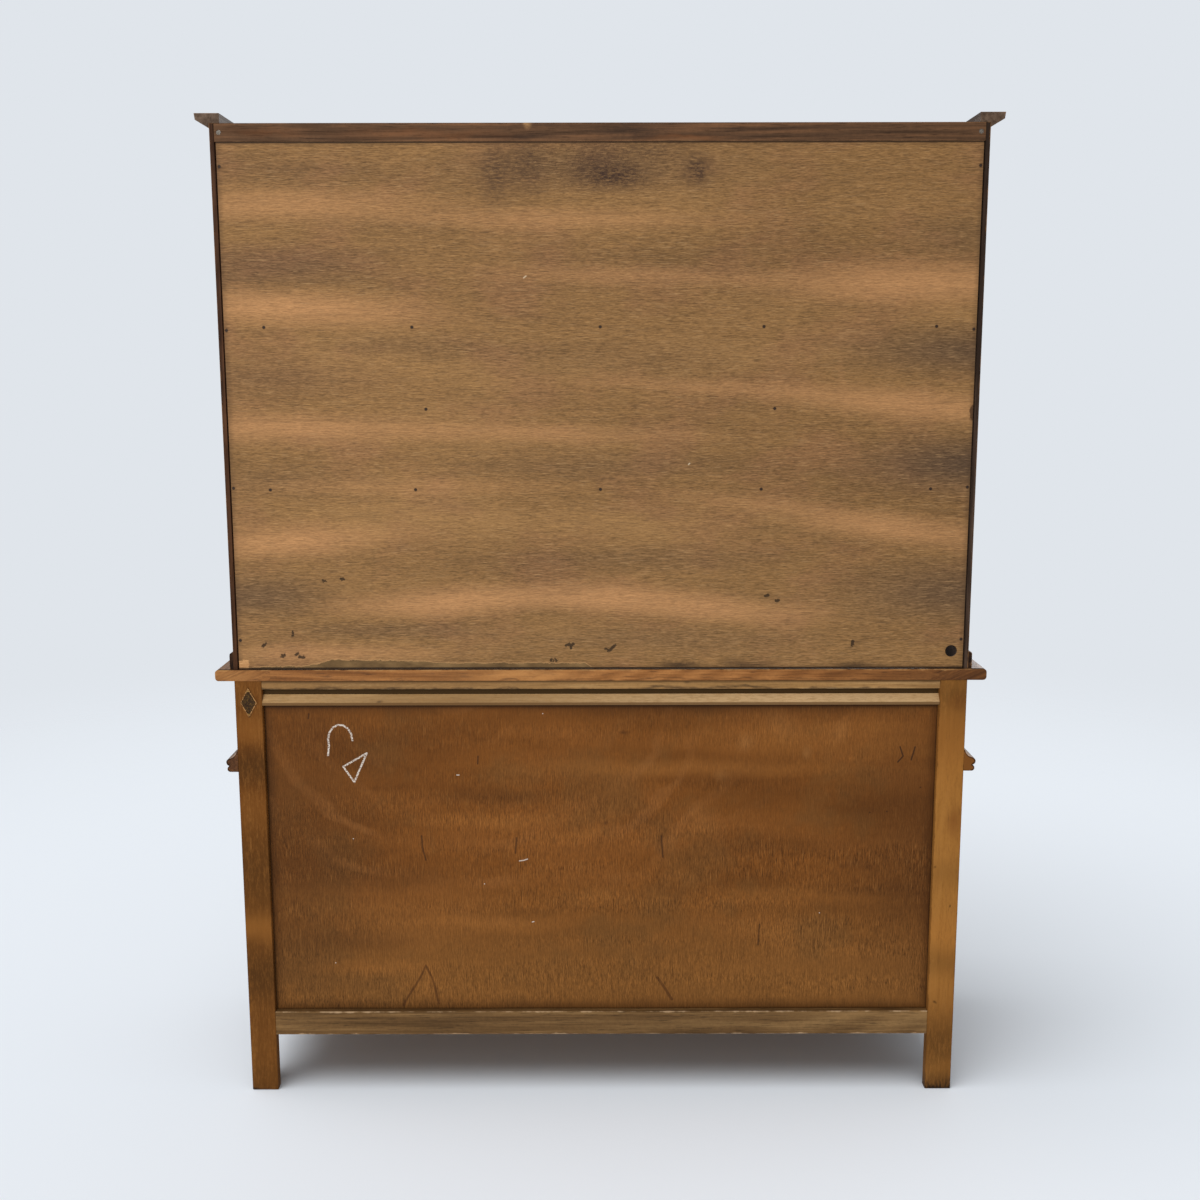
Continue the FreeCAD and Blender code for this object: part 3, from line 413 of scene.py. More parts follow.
def oak_finish(node, grain, stain, seed, turned=None, slant=0.0, sprays=(), coats=(), arris_box=None, reach=0.0022):
    # Gives a node its own solid wood finish. grain is the axis the boards run along; turned is a second axis
    # with a function for the mask of the boards that run along it, and slant tips their grain. sprays pair a
    # colour with its sweeps, coats pair a colour with a mask function, and the box given for the arrises gets
    # the stain's arris tone along its edges: wear and old stain on most boards, a painted highlight on the
    # bottom rail.
    material, shader, place = blank_finish(node + "_finish")
    parts = parted(place)

    def lengthwise(axis):
        return joined(*[parts[part] for part in {"X": (0, 1, 2), "Y": (1, 0, 2), "Z": (2, 0, 1)}[axis]])

    way = lengthwise(grain)
    if turned:
        share = turned[1](parts)
        apart = vectors("ADD", lengthwise(turned[0]), (0.37, 0.11, 0.07))
        if slant:
            apart = put("VectorRotate", {"Vector": apart, "Angle": slant}, rotation_type="Y_AXIS").outputs[0]
        way = put("Mix", {0: share, 4: way, 5: apart}, data_type="VECTOR").outputs[1]
    figure = using(board_grain, Vector=way, Seed=seed)
    colour = graded(figure["Tone"], (0.36, stain["dark"]), (0.50, stain["middle"]), (0.66, stain["light"]))
    colour = laid(colour, stain["pore"], figure["Pore"], 0.60)
    colour = shaded(colour, cloudy(place, 170.0, 4.0, 0.7), 0.28)
    if sprays:
        warped = bent(place, 14.0, (0.03, 0.0, 0.03), 3.0)
        patchy = ranged(cloudy(way, (70.0, 330.0, 330.0), 4.0, 0.75), 0.34, 0.58, 0.50, 1.0)
        for shade, sweeps in sprays:
            colour = mixed(patchy, colour, sprayed(colour, warped, shade, sweeps))
    smooth, coarse = stain["gloss"]
    gloss = ranged(figure["Tone"], 0.35, 0.68, coarse, smooth, "LINEAR")
    for shade, mask in coats:
        covered = mask(parts)
        colour = mixed(covered, colour, shade)
        gloss = sums("MAXIMUM", gloss, covered)
    if arris_box:
        low, high = arris_box
        at_arris = using(arris_band, Vector=place, Low=low, High=high, Reach=reach)["Mask"]
        colour = laid(colour, stain["at_arris"], at_arris, 0.55)
    set_on(
        shader, Base_Color=colour, Specular_IOR_Level=stain["shine"], Roughness=gloss,
        Normal=raised(figure["Height"], 0.0004, 0.35))
    dress(node, material)


leg_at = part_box("rear_leg_right")[0].lerp(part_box("rear_leg_right")[1], 0.5).x
leg_wide = 0.25
all_wide = 9.0
olive_soot = tint(62, 40, 17)
honey_glow = tint(172, 112, 50)
foot_dirt = tint(38, 26, 17)
scuffed_foot = (0.0, 0.0, all_wide, 0.045, 0.90)
# A black rim of painted shade at the foot of each rear leg.
foot_rim_shade = (tint(24, 19, 15), [(0.0, 0.0, all_wide, 0.008, 0.90)])
oak_finish("rear_leg_right", "Z", honey_oak, 1.3, arris_box=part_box("rear_leg_right"), sprays=[
    (tint(100, 60, 21), [(leg_at, 0.400, all_wide, 1.600, 0.85)]),
    (honey_glow, [
        (leg_at, 0.692, leg_wide, 0.045, 0.40), (leg_at, 0.545, leg_wide, 0.060, 0.18),
        (leg_at + 0.006, 0.322, leg_wide, 0.045, 0.42)]),
    (tint(84, 40, 8), [(leg_at, 0.640, leg_wide, 0.260, 0.38)]),
    (tint(80, 48, 24), [(leg_at, 0.220, leg_wide, 0.300, 0.22)]),
    (olive_soot, [
        (leg_at, 0.625, leg_wide, 0.055, 0.62), (leg_at, 0.430, leg_wide, 0.120, 0.45),
        (leg_at - 0.01, 0.226, leg_wide, 0.080, 0.62), (leg_at, 0.030, leg_wide, 0.040, 0.25)]),
    (foot_dirt, [(0.0, 0.0, all_wide, 0.030, 0.40)]), foot_rim_shade])
oak_finish("rear_leg_left", "Z", honey_oak, 4.1, arris_box=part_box("rear_leg_left"), sprays=[
    (tint(166, 113, 52), [(-leg_at, 0.500, all_wide, 1.400, 0.75)]),
    (honey_glow, [(-leg_at, 0.300, leg_wide, 0.080, 0.40), (-leg_at, 0.640, leg_wide, 0.110, 0.30)]),
    (tint(104, 56, 20), [(-leg_at, 0.700, leg_wide, 0.130, 0.36), (-leg_at, 0.120, leg_wide, 0.160, 0.26)]),
    (tint(112, 62, 26), [(-0.642, 0.519, 0.022, 0.045, 0.60), (-0.640, 0.745, 0.030, 0.030, 0.45)]),
    (olive_soot, [
        (-leg_at, 0.765, leg_wide, 0.070, 0.50), (-leg_at, 0.420, leg_wide, 0.045, 0.22),
        (-leg_at, 0.252, leg_wide, 0.045, 0.35), (-leg_at, 0.090, leg_wide, 0.110, 0.65),
        (-0.609, 0.434, 0.004, 0.004, 1.0), (-0.637, 0.361, 0.004, 0.004, 0.9),
        (-0.620, 0.170, 0.004, 0.004, 0.8)]),
    (foot_dirt, [scuffed_foot]), foot_rim_shade])

# Front legs: boards like the rear ones, in the dark stain of the front, waxed and rubbed along the arrises.
# Their feet are scuffed too.
dark_foot = [(dark_oak["pore"], [scuffed_foot])]
for leg, seed in (("front_leg_left", 6.2), ("front_leg_right", 8.7)):
    oak_finish(leg, "Z", dark_oak, seed, sprays=dark_foot, arris_box=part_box(leg))

# Rails across the back: a bare softwood rail under the worktop and a bevelled softwood batten that holds down
# the plywood, both nailed between the legs, and an oak bottom rail tenoned into the legs, grimy from mopping.
# The top rail carries painted shade under the worktop and along its lower edge, the batten's square edge
# below its bevel is painted shade, and the bottom rail's pale upper arris is a painted highlight.
pale_pine = dict(
    dark=tint(140, 103, 58), middle=tint(163, 123, 74), light=tint(188, 149, 98),
    pore=tint(118, 85, 48), at_arris=tint(196, 164, 120), gloss=(0.52, 0.66), shine=0.14)
# Stain of the bottom rail. Its pale arris tone is a painted highlight, meant for the lit upper arris.
olive_oak = dict(
    dark=tint(82, 58, 32), middle=tint(114, 84, 50), light=tint(146, 112, 70), pore=tint(56, 39, 22),
    at_arris=tint(216, 182, 142), gloss=(0.48, 0.62), shine=0.09)
rail_low, rail_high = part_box("back_top_rail")
batten_edge = 0.0055
square_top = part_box("back_batten")[0].z + batten_edge
knot_and_edge_shade = tint(58, 42, 28)


def shut_in(parts):
    # Shade and dust close under the worktop.
    return ranged(parts[2], rail_high.z - 0.0066, rail_high.z - 0.0012, 0.0, 0.86)


def square_edge_shade(parts):
    # Painted shade on the batten's square upright edge below its bevel.
    return ranged(parts[2], square_top + 0.0004, square_top - 0.0012, 0.0, 0.90)


oak_finish(
    "back_top_rail", "X", pale_pine, 2.6, arris_box=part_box("back_top_rail"), reach=0.001, sprays=[
        (tint(126, 92, 54), [
            (0.42, 0.776, 0.62, 0.200, 0.75), (-0.22, 0.776, 0.20, 0.060, 0.10),
            (-0.60, 0.776, 0.12, 0.060, 0.60)]),
        (knot_and_edge_shade, [
            # The sweep along the whole lower edge is painted shade under the rail; the others are knots.
            (0.0, rail_low.z, 3.0, 0.0045, 0.75), (0.183, 0.768, 0.016, 0.006, 0.80),
            (-0.156, 0.779, 0.010, 0.005, 0.70), (-0.560, 0.768, 0.014, 0.006, 0.75)])],
    coats=[(tint(76, 52, 27), shut_in)])
oak_finish(
    "back_batten", "X", pale_pine, 5.9, sprays=[
        (tint(216, 180, 132), [(-0.36, 0.748, 0.90, 0.200, 0.85), (0.52, 0.748, 0.30, 0.100, 0.40)]),
        (tint(110, 80, 48), [(0.24, 0.744, 0.30, 0.030, 0.25)]),
        (knot_and_edge_shade, [(0.393, 0.742, 0.010, 0.005, 0.70), (-0.050, 0.741, 0.008, 0.004, 0.55)])],
    coats=[(tint(106, 76, 45), square_edge_shade)])
oak_finish("back_bottom_rail", "X", olive_oak, 3.3, arris_box=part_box("back_bottom_rail"), reach=0.0028, sprays=[
    (tint(70, 50, 29), [
        (0.28, 0.132, 0.14, 0.04, 0.40), (-0.10, 0.108, 0.90, 0.014, 0.40),
        (-0.20, 0.132, 0.80, 0.10, 0.30)]),
    # A painted highlight along the upper edge of the rail.
    (tint(150, 114, 70), [(-0.50, 0.148, 0.30, 0.010, 0.40)])])

# Side frames of the base: two stiles that stand beside the legs, two rails tenoned between them and a thin
# oak panel in grooves. The stiles' grain is upright and the rails' runs from front to back.
panel_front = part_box("side_panels")[0].y
panel_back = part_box("side_panels")[1].y
panel_in_groove = 0.0065


def between(axis, low, high):
    # The mask of boards that lie between two places along one axis.
    def mask(parts):
        above = sums("GREATER_THAN", parts[axis], low)
        return times(above, sums("LESS_THAN", parts[axis], high))
    return mask


side_rails = between(1, panel_front + panel_in_groove, panel_back - panel_in_groove)
for part, seed in (("side_frame_left", 11.4), ("side_frame_right", 13.9)):
    oak_finish(part, "Z", dark_oak, seed, turned=("Y", side_rails), sprays=dark_foot, arris_box=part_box(part))
oak_finish("side_panels", "Z", dark_oak, 15.2)

# Front of the base: three rails tenoned into the legs, four short uprights between them and a fixed raised
# panel in the middle, all oak in the dark waxed stain. The panel's raised field is rubbed along its edges.
oak_finish("front_rails", "X", dark_oak, 17.1, arris_box=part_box("front_rails"))
oak_finish("front_muntins", "Z", dark_oak, 18.6)
panel_bevel = 0.0205


def field_of(node, bevel):
    # The raised field of a front: its box drawn in to where the bevel starts, open towards the back.
    low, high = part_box(node)
    inset = Vector((bevel, 0.0, bevel))
    open_behind = Vector((0.0, 0.05, 0.0))
    return low + inset, high - inset + open_behind


oak_finish(
    "front_centre_panel", "Z", dark_oak, 20.3, arris_box=field_of("front_centre_panel", panel_bevel), reach=0.003)

# Inside of the base: a pine shelf on battens, and the runners, guides and rear rail that carry the drawers,
# all of bare softwood that has only darkened with age.
bare_pine = dict(
    dark=tint(140, 104, 64), middle=tint(166, 128, 84), light=tint(190, 154, 108),
    pore=tint(118, 84, 50), at_arris=tint(204, 172, 130), gloss=(0.55, 0.70), shine=0.16)
oak_finish("cupboard_shelf", "X", bare_pine, 22.8, arris_box=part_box("cupboard_shelf"))
side_battens = 0.6
oak_finish("cupboard_battens", "Y", bare_pine, 24.1, turned=("X", between(0, -side_battens, side_battens)))
oak_finish("drawer_runners", "Y", bare_pine, 25.7)
oak_finish("runner_rear_rail", "X", bare_pine, 27.2)

# Waist moulding: a moulded oak length along the front and one along each side, mitred at the front corners
# and glued on. Its nose is dark with old polish, and the hollow above it is painted pale near the wall.


def side_runs(node, reach):
    # The mask of the two runs along the sides, split from the front run at the mitres.
    low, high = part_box(node)
    corner = high.x - reach + low.y + reach

    def mask(parts):
        return sums("GREATER_THAN", sums("ADD", sums("ABSOLUTE", parts[0]), parts[1]), corner)
    return mask


waist_reach = 0.021
waist_low, waist_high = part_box("waist_moulding")
waist_height = waist_high.z - waist_low.z
nose_top = waist_low.z + 0.6 * waist_height
sawn_end = waist_high.y - 0.0005


def oversprayed(parts):
    # The sawn end away from the badge caught the pale stain of the leg beside it.
    behind = ranged(parts[1], waist_high.y - 0.010, waist_high.y - 0.002)
    return times(behind, sums("LESS_THAN", parts[0], 0.0))


def outlined(parts):
    # Old polish that has soaked into the sawn ends round the edge of the profile.
    beside = joined(sums("ABSOLUTE", parts[0]), 0.0, parts[2])
    profile = [
        (waist_high.x + (out - 1.0) * waist_reach, waist_low.z + up * waist_height) for out, up in (
            (0.06, 1.00), (0.31, 0.75), (0.54, 0.67), (0.76, 0.63), (0.93, 0.55), (0.97, 0.45), (0.70, 0.29),
            (0.88, 0.20), (0.90, 0.10), (0.71, 0.02))]
    edge = times(scored(beside, 0.0034, profile), 0.80)
    return times(edge, sums("GREATER_THAN", parts[1], sawn_end))


def pale_hollow(parts):
    # The hollow over the nose is painted pale towards the wall, and not on the sawn ends.
    hollow = ranged(parts[2], nose_top, nose_top + 0.004, 0.0, 0.88)
    hollow = times(hollow, ranged(parts[1], waist_high.y - 0.30, waist_high.y - 0.14))
    return times(hollow, sums("LESS_THAN", parts[1], sawn_end))


oak_finish(
    "waist_moulding", "X", dict(dark_oak, at_arris=tint(54, 38, 20), shine=0.10), 29.5,
    turned=("Y", side_runs("waist_moulding", waist_reach)), arris_box=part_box("waist_moulding"), reach=0.004,
    coats=[(tint(122, 76, 34), oversprayed), (tint(48, 28, 12), outlined), (tint(226, 194, 170), pale_hollow)])

# Worktop: a wide oak board with a clamp tongued across each end, waxed, its edges worn to a warm tan. The
# back edge is square, with a few dark nicks and a line of painted shade along its foot, and the narrow ledge
# behind the rack is painted dark as shade.
worktop_oak = dict(
    dark=tint(86, 50, 22), middle=tint(133, 84, 42), light=tint(170, 114, 63), pore=tint(58, 33, 16),
    at_arris=tint(188, 140, 86), gloss=(0.36, 0.50), shine=0.12)
worktop_low, worktop_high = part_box("worktop_end_clamps")
edge_at = (worktop_low.z + worktop_high.z) / 2
open_below = Vector((0.0, 0.0, 0.05))
worktop_arris = (worktop_low - open_below, worktop_high)
edge_wear_and_shade = [
    (tint(196, 140, 82), [(0.14, edge_at, 0.16, 0.030, 0.55), (0.66, edge_at, 0.10, 0.030, 0.40)]),
    (tint(70, 42, 22), [
        (0.27, edge_at, 0.10, 0.030, 0.30), (-0.015, edge_at - 0.008, 0.012, 0.006, 0.80),
        # The sweep along the whole lower edge is painted shade over the top rail.
        (-0.64, edge_at, 0.28, 0.060, 0.50), (0.0, worktop_low.z, all_wide, 0.003, 0.45)])]
rack_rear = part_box("rack_back_panel")[1].y
clamp_end = between(1, worktop_high.y - 0.0008, worktop_high.y + 1.0)


def ledge_shade(parts):
    # Painted shade on the narrow ledge behind the rack.
    ledge = sums("GREATER_THAN", parts[2], worktop_high.z - 0.0004)
    return times(ledge, ranged(parts[1], rack_rear - 0.004, rack_rear - 0.002, 0.0, 0.85))


ledge_shade_coat = [(tint(46, 30, 19), ledge_shade)]
oak_finish("worktop", "X", worktop_oak, 31.8, arris_box=worktop_arris, reach=0.003, sprays=edge_wear_and_shade, coats=ledge_shade_coat)
oak_finish(
    "worktop_end_clamps", "Y", worktop_oak, 33.4, arris_box=worktop_arris, reach=0.003, sprays=edge_wear_and_shade,
    coats=ledge_shade_coat, turned=("X", clamp_end), slant=math.radians(-24.0))

# Rack: two oak sides, two shelves and a top board housed into them, two small uprights between the shelves
# and the dowels that stand the rack on the worktop. The sides' back edges are almost black with old stain.
rack_side_oak = dict(
    dark_oak, dark=tint(42, 25, 15), middle=tint(66, 41, 25), light=tint(92, 59, 36), gloss=(0.44, 0.58),
    shine=0.06)
greyed_oak = dict(rack_side_oak, dark=tint(36, 26, 20), middle=tint(56, 42, 33), light=tint(80, 62, 50))
for part, stain, seed in (("rack_side_left", greyed_oak, 36.1), ("rack_side_right", rack_side_oak, 38.4)):
    oak_finish(part, "Z", stain, seed, arris_box=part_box(part), reach=0.0016)
for part, seed in (("rack_lower_shelf", 41.7), ("rack_upper_shelf", 43.2), ("rack_top_board", 45.9)):
    oak_finish(part, "X", dark_oak, seed, arris_box=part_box(part))
oak_finish("rack_partitions", "Z", dark_oak, 47.3)
oak_finish("rack_dowels", "Z", bare_pine, 49.0)

# Frieze rail with its stepped lower edge, the cornice mitred round the top and a rounded strip along the foot
# of each side: dark oak again, the cornice greyed by dust.
oak_finish("frieze_rail", "X", dark_oak, 51.6, arris_box=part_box("frieze_rail"))
dusty_oak = dict(
    dark_oak, dark=tint(64, 48, 36), middle=tint(86, 67, 52), light=tint(110, 89, 72), gloss=(0.50, 0.64),
    shine=0.14)
cornice_reach = 0.0244
oak_finish(
    "cornice", "X", dusty_oak, 53.8, turned=("Y", side_runs("cornice", cornice_reach)), arris_box=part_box("cornice"),
    reach=0.002)
foot_oak = dict(rack_side_oak, dark=tint(26, 16, 10), middle=tint(42, 26, 16), light=tint(64, 42, 27))
oak_finish("rack_foot_mouldings", "Y", foot_oak, 55.2, arris_box=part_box("rack_foot_mouldings"), reach=0.002)

# Top rail of the rack's back: dark stained oak, screwed into the sides at both ends, with a chip of bare wood
# on its upper edge.
rail_oak = dict(
    dark=tint(58, 40, 27), middle=tint(93, 67, 47), light=tint(130, 91, 61), pore=tint(42, 29, 20),
    at_arris=tint(138, 102, 70), gloss=(0.50, 0.64), shine=0.06)
oak_finish("rack_top_rail", "X", rail_oak, 57.4, arris_box=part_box("rack_top_rail"), reach=0.0015, sprays=[
    (tint(50, 38, 32), [
        (-0.35, 1.722, 0.55, 0.030, 0.25), (-0.06, 1.722, 0.12, 0.026, 0.60),
        (0.14, 1.714, 0.10, 0.010, 0.55), (0.10, 1.732, 0.12, 0.007, 0.50)]),
    (tint(132, 84, 50), [
        (0.30, 1.720, 0.22, 0.014, 0.40), (-0.14, 1.714, 0.10, 0.008, 0.50),
        (0.56, 1.724, 0.10, 0.014, 0.35)]),
    (tint(196, 150, 100), [(0.119, 1.735, 0.010, 0.013, 1.0)])])

# Plywood back of the rack: thin oak-faced sheet pinned into rebates, its grain level. Stain was sprayed on in
# passes from both sides, which left tan waves and grey-brown bands. The top has dark water stains, and along
# the bottom on one side the face veneer is torn away to the core. The inside was stained to match the front.
rack_low, rack_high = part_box("rack_back_panel")
rack_ply, shader, place = blank_finish("rack_ply_finish")
x, y, z = parted(place)
grain = using(veneer_grain, Vector=place)
drift = cloudy(place, (1.3, 1.0, 8.0), 4.0, 0.6)
colour = graded(
    drift, (0.32, tint(127, 94, 58)), (0.46, tint(140, 104, 64)), (0.56, tint(145, 108, 67)),
    (0.70, tint(157, 118, 74)))
colour = shaded(colour, cloudy(place, (11.0, 11.0, 1.1), 3.0), 0.10)
rosy = cloudy(vectors("ADD", place, (2.0, 0.0, 5.0)), (5.0, 5.0, 9.0), 4.0, 0.6)
colour = mixed(ranged(rosy, 0.46, 0.66, 0.0, 0.30), colour, tint(148, 103, 74))
warped = bent(place, (1.8, 1.8, 2.6), (0.10, 0.0, 0.026))
colour = sprayed(colour, warped, tint(92, 71, 53), [
    (0.320, 1.371, 0.260, 0.034, 0.26), (-0.640, 1.360, 0.320, 0.062, 0.85, 0.02),
    (-0.650, 1.166, 0.300, 0.082, 1.00, 0.02), (-0.640, 0.938, 0.300, 0.086, 0.80, 0.02),
    (0.620, 0.938, 0.200, 0.060, 0.70), (0.000, 1.665, 0.380, 0.066, 0.50),
    (-0.630, 1.553, 0.160, 0.056, 0.38), (0.370, 0.875, 0.260, 0.024, 0.40),
    (-0.080, 1.000, 0.380, 0.036, 0.30), (-0.120, 0.857, 0.360, 0.034, 0.30),
    (0.000, 1.165, 0.420, 0.036, 0.28), (-0.020, 1.350, 0.420, 0.050, 0.20),
    (0.560, 1.140, 0.240, 0.040, 0.25)])
colour = sprayed(colour, warped, tint(102, 73, 56), [
    (0.560, 1.508, 0.300, 0.052, 0.52), (0.560, 1.320, 0.280, 0.056, 0.36),
    (0.520, 1.665, 0.300, 0.040, 0.20)])
colour = sprayed(colour, warped, tint(184, 135, 89), [
    (0.540, 1.604, 0.460, 0.044, 0.70, 0.02), (0.068, 1.579, 0.420, 0.028, 0.55),
    (0.540, 1.434, 0.400, 0.046, 0.95, 0.04), (-0.560, 1.469, 0.400, 0.052, 0.95),
    (-0.085, 1.487, 0.440, 0.026, 0.45, 0.03), (-0.530, 1.272, 0.380, 0.040, 0.85, 0.09),
    (-0.172, 1.303, 0.320, 0.022, 0.45, 0.06), (0.540, 1.230, 0.400, 0.042, 0.75),
    (0.138, 1.222, 0.480, 0.026, 0.55, 0.02), (0.348, 1.130, 0.420, 0.024, 0.35),
    (0.560, 1.037, 0.280, 0.042, 0.90, -0.05), (0.265, 0.928, 0.300, 0.042, 1.00, -0.04),
    (-0.035, 0.929, 0.290, 0.040, 1.00, 0.03), (-0.212, 0.909, 0.280, 0.034, 0.75, 0.07),
    (-0.530, 1.052, 0.320, 0.042, 0.85, 0.13), (-0.279, 1.097, 0.260, 0.024, 0.35, 0.10),
    (0.470, 0.833, 0.340, 0.026, 0.60), (-0.413, 1.295, 0.010, 0.110, 0.25)])
darkness = ranged(put("RGBToBW", {0: colour}).outputs[0], 0.12, 0.26, 1.0, 0.55)
colour = grained(colour, grain, darkness, 0.48)
colour = laid(colour, tint(190, 150, 104), grain["Fleck"], times(darkness, 0.40))
colour = laid(colour, tint(82, 60, 42), grain["Pore"], times(darkness, 0.48))
colour = mixed(ranged(grain["Streak"], 0.50, 0.32, 0.0, 0.16), colour, tint(98, 74, 50))

# Water stains at the top, freckles round them, and the chips, smudges and rusted pins over the whole sheet.
blotch = ranged(cloudy(place, (80.0, 80.0, 260.0), 5.0, 0.8), 0.40, 0.60)
blotch = ranged(blotch, 0.0, 1.0, 0.25, 1.0)
for x_at, z_at, wide, high, strength in (
        (0.175, 1.655, 0.045, 0.090, 0.75), (0.121, 1.668, 0.050, 0.075, 0.65),
        (-0.020, 1.652, 0.105, 0.036, 1.15), (0.010, 1.680, 0.070, 0.040, 0.60),
        (-0.163, 1.660, 0.042, 0.042, 0.95), (-0.080, 1.692, 0.120, 0.026, 0.55)):
    spot = times(swept(place, x_at, z_at, wide, high), blotch)
    colour = mixed(sums("MULTIPLY", spot, strength, clamp=True), colour, tint(66, 48, 39))
freckled = ranged(cloudy(place, (300.0, 300.0, 380.0), 2.0, 0.6), 0.55, 0.66, 0.0, 0.60)
colour = laid(colour, tint(76, 52, 38), freckled, swept(place, 0.02, 1.672, 0.30, 0.085))
chewed = bent(place, 170.0, (0.014, 0.0, -0.012), 3.0, 0.7)
chips = scored(
    chewed, 0.0060, [(0.538, 0.8334)], [(0.5276, 0.8262)], [(0.600, 0.846), (0.596, 0.850)],
    [(0.566, 0.830), (0.563, 0.829)], [(0.541, 0.831)], [(0.536, 0.827), (0.531, 0.827)],
    [(0.546, 0.872), (0.545, 0.867)], [(0.488, 0.965), (0.484, 0.964)], [(0.457, 0.967), (0.453, 0.966)],
    [(0.060, 0.848), (0.049, 0.849)], [(0.053, 0.848), (0.053, 0.842)], [(0.088, 0.821), (0.086, 0.818)],
    [(0.081, 0.822), (0.079, 0.820)], [(-0.016, 0.838), (-0.024, 0.846)], [(-0.008, 0.840), (-0.013, 0.838)],
    [(-0.297, 0.938), (-0.289, 0.934)], [(-0.309, 0.927), (-0.313, 0.927)],
    [(-0.447, 0.854), (-0.447, 0.847)])
colour = laid(colour, tint(50, 38, 27), chips, 0.88)
smudges = sprayed(colour, chewed, tint(62, 47, 34), [
    (-0.262, 0.816, 0.070, 0.016, 0.90), (-0.140, 0.812, 0.060, 0.012, 0.85),
    (-0.455, 0.810, 0.060, 0.010, 0.80)])
colour = mixed(ranged(grain["Streak"], 0.36, 0.54), colour, smudges)
broken = swept(chewed, -0.645, 1.256, 0.012, 0.020)
colour = mixed(ranged(broken, 0.10, 0.35, 0.0, 0.85), colour, tint(72, 48, 32))


def centres_of(node, apart):
    # The middle of each of a node's like pieces, seen in the plane of the back.
    pieces = []
    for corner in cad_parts[node].data.vertices:
        spot = Vector((corner.co.x, corner.co.z))
        near = [piece for piece in pieces if (piece[0] - spot).length < apart]
        if near:
            near[0].append(spot)
        else:
            pieces.append([spot])
    return [sum(piece, Vector((0.0, 0.0))) / len(piece) for piece in pieces]


pins_apart = 0.010
rusted = scored(place, 0.0062, *[[spot] for spot in centres_of("panel_pins", pins_apart)])
colour = laid(colour, tint(34, 24, 17), rusted, 0.85)
pale_nicks = scored(place, 0.0024, [(0.130, 1.484), (0.126, 1.487)], [(-0.155, 1.169), (-0.153, 1.167)])
colour = laid(colour, tint(222, 200, 168), pale_nicks, 0.65)
# Painted shade and dirt round the edges of the sheet, then lines of painted shadow along its bottom edge,  over
# the gap above the worktop, and along its top edge under the rail.
edge_shade_and_dirt = using(frame_shade_and_dirt, Vector=place, Low=rack_low, High=rack_high, Reach=0.010)["Mask"]
colour = laid(colour, tint(74, 54, 37), edge_shade_and_dirt, 0.34)
low_seam_shade = ranged(z, rack_low.z + 0.0038, rack_low.z + 0.0022)
seam_shade = sums("MAXIMUM", low_seam_shade, ranged(z, rack_high.z - 0.0034, rack_high.z - 0.0018))

# Torn stretch of veneer: its height along the bottom edge, the core laid bare under it and its pale lip.
torn_from, torn_to = 0.010, 0.640
torn_height = 0.0165
ragged = 0.013
torn = graded(
    ranged(x, torn_from, torn_to, soft="LINEAR"), *[
        (share, (high, high, high, 1.0)) for share, high in (
            (0.00, 0.0), (0.03, 0.60), (0.45, 0.66), (0.54, 0.90), (0.74, 1.0), (0.78, 0.55), (0.83, 0.28),
            (0.94, 0.24), (1.00, 0.0))])
ripple = sums("SUBTRACT", cloudy(place, (70.0, 70.0, 20.0), 5.0, 0.85), 0.5)
torn = sums("ADD", times(torn, torn_height), times(ripple, ragged))
above_tear = sums("SUBTRACT", sums("SUBTRACT", z, rack_low.z), torn)
torn = ranged(above_tear, 0.0004, -0.0004)
core = graded(
    cloudy(place, (34.0, 300.0, 90.0), 3.0), (0.3, tint(94, 72, 46)), (0.5, tint(114, 88, 56)),
    (0.7, tint(134, 105, 68)))
lip = times(ranged(above_tear, 0.0026, 0.0010), ranged(x, torn_from, torn_from + 0.01))
lip = times(lip, ranged(x, torn_to, torn_to - 0.01, 0.0, 0.55))
colour = mixed(lip, colour, tint(188, 144, 96))
colour = mixed(torn, colour, core)
split_x, _, split_z = parted(chewed)
split_low = ranged(split_z, rack_low.z + 0.0175, rack_low.z + 0.0160)
bare_corner = times(ranged(split_x, 0.6245, 0.6260), split_low)
bare_wood = mixed(grain["Dash"], tint(178, 126, 78), tint(216, 166, 112))
colour = laid(colour, bare_wood, bare_corner, 0.85)
# The lines of painted shadow along the top and bottom edges.
colour = laid(colour, tint(40, 28, 20), seam_shade, 0.85)
stained = graded(
    grain["Streak"], (0.34, tint(60, 37, 22)), (0.50, tint(78, 50, 30)), (0.66, tint(98, 65, 40)))
stained = laid(stained, dark_oak["pore"], grain["Pore"], 0.5)
outside = outer_face(y, rack_high)
colour = mixed(outside, shaded(stained, grain["Dash"], 0.14), colour)
sunken = times(sums("MAXIMUM", torn, chips), 2.5)
height = sums("SUBTRACT", veneer_height(grain), sunken)
set_on(
    shader, Base_Color=colour, Roughness=ranged(drift, 0.3, 0.7, 0.52, 0.66, "LINEAR"),
    Specular_IOR_Level=0.08, Normal=raised(height, 0.0003, 0.35))
dress("rack_back_panel", rack_ply)

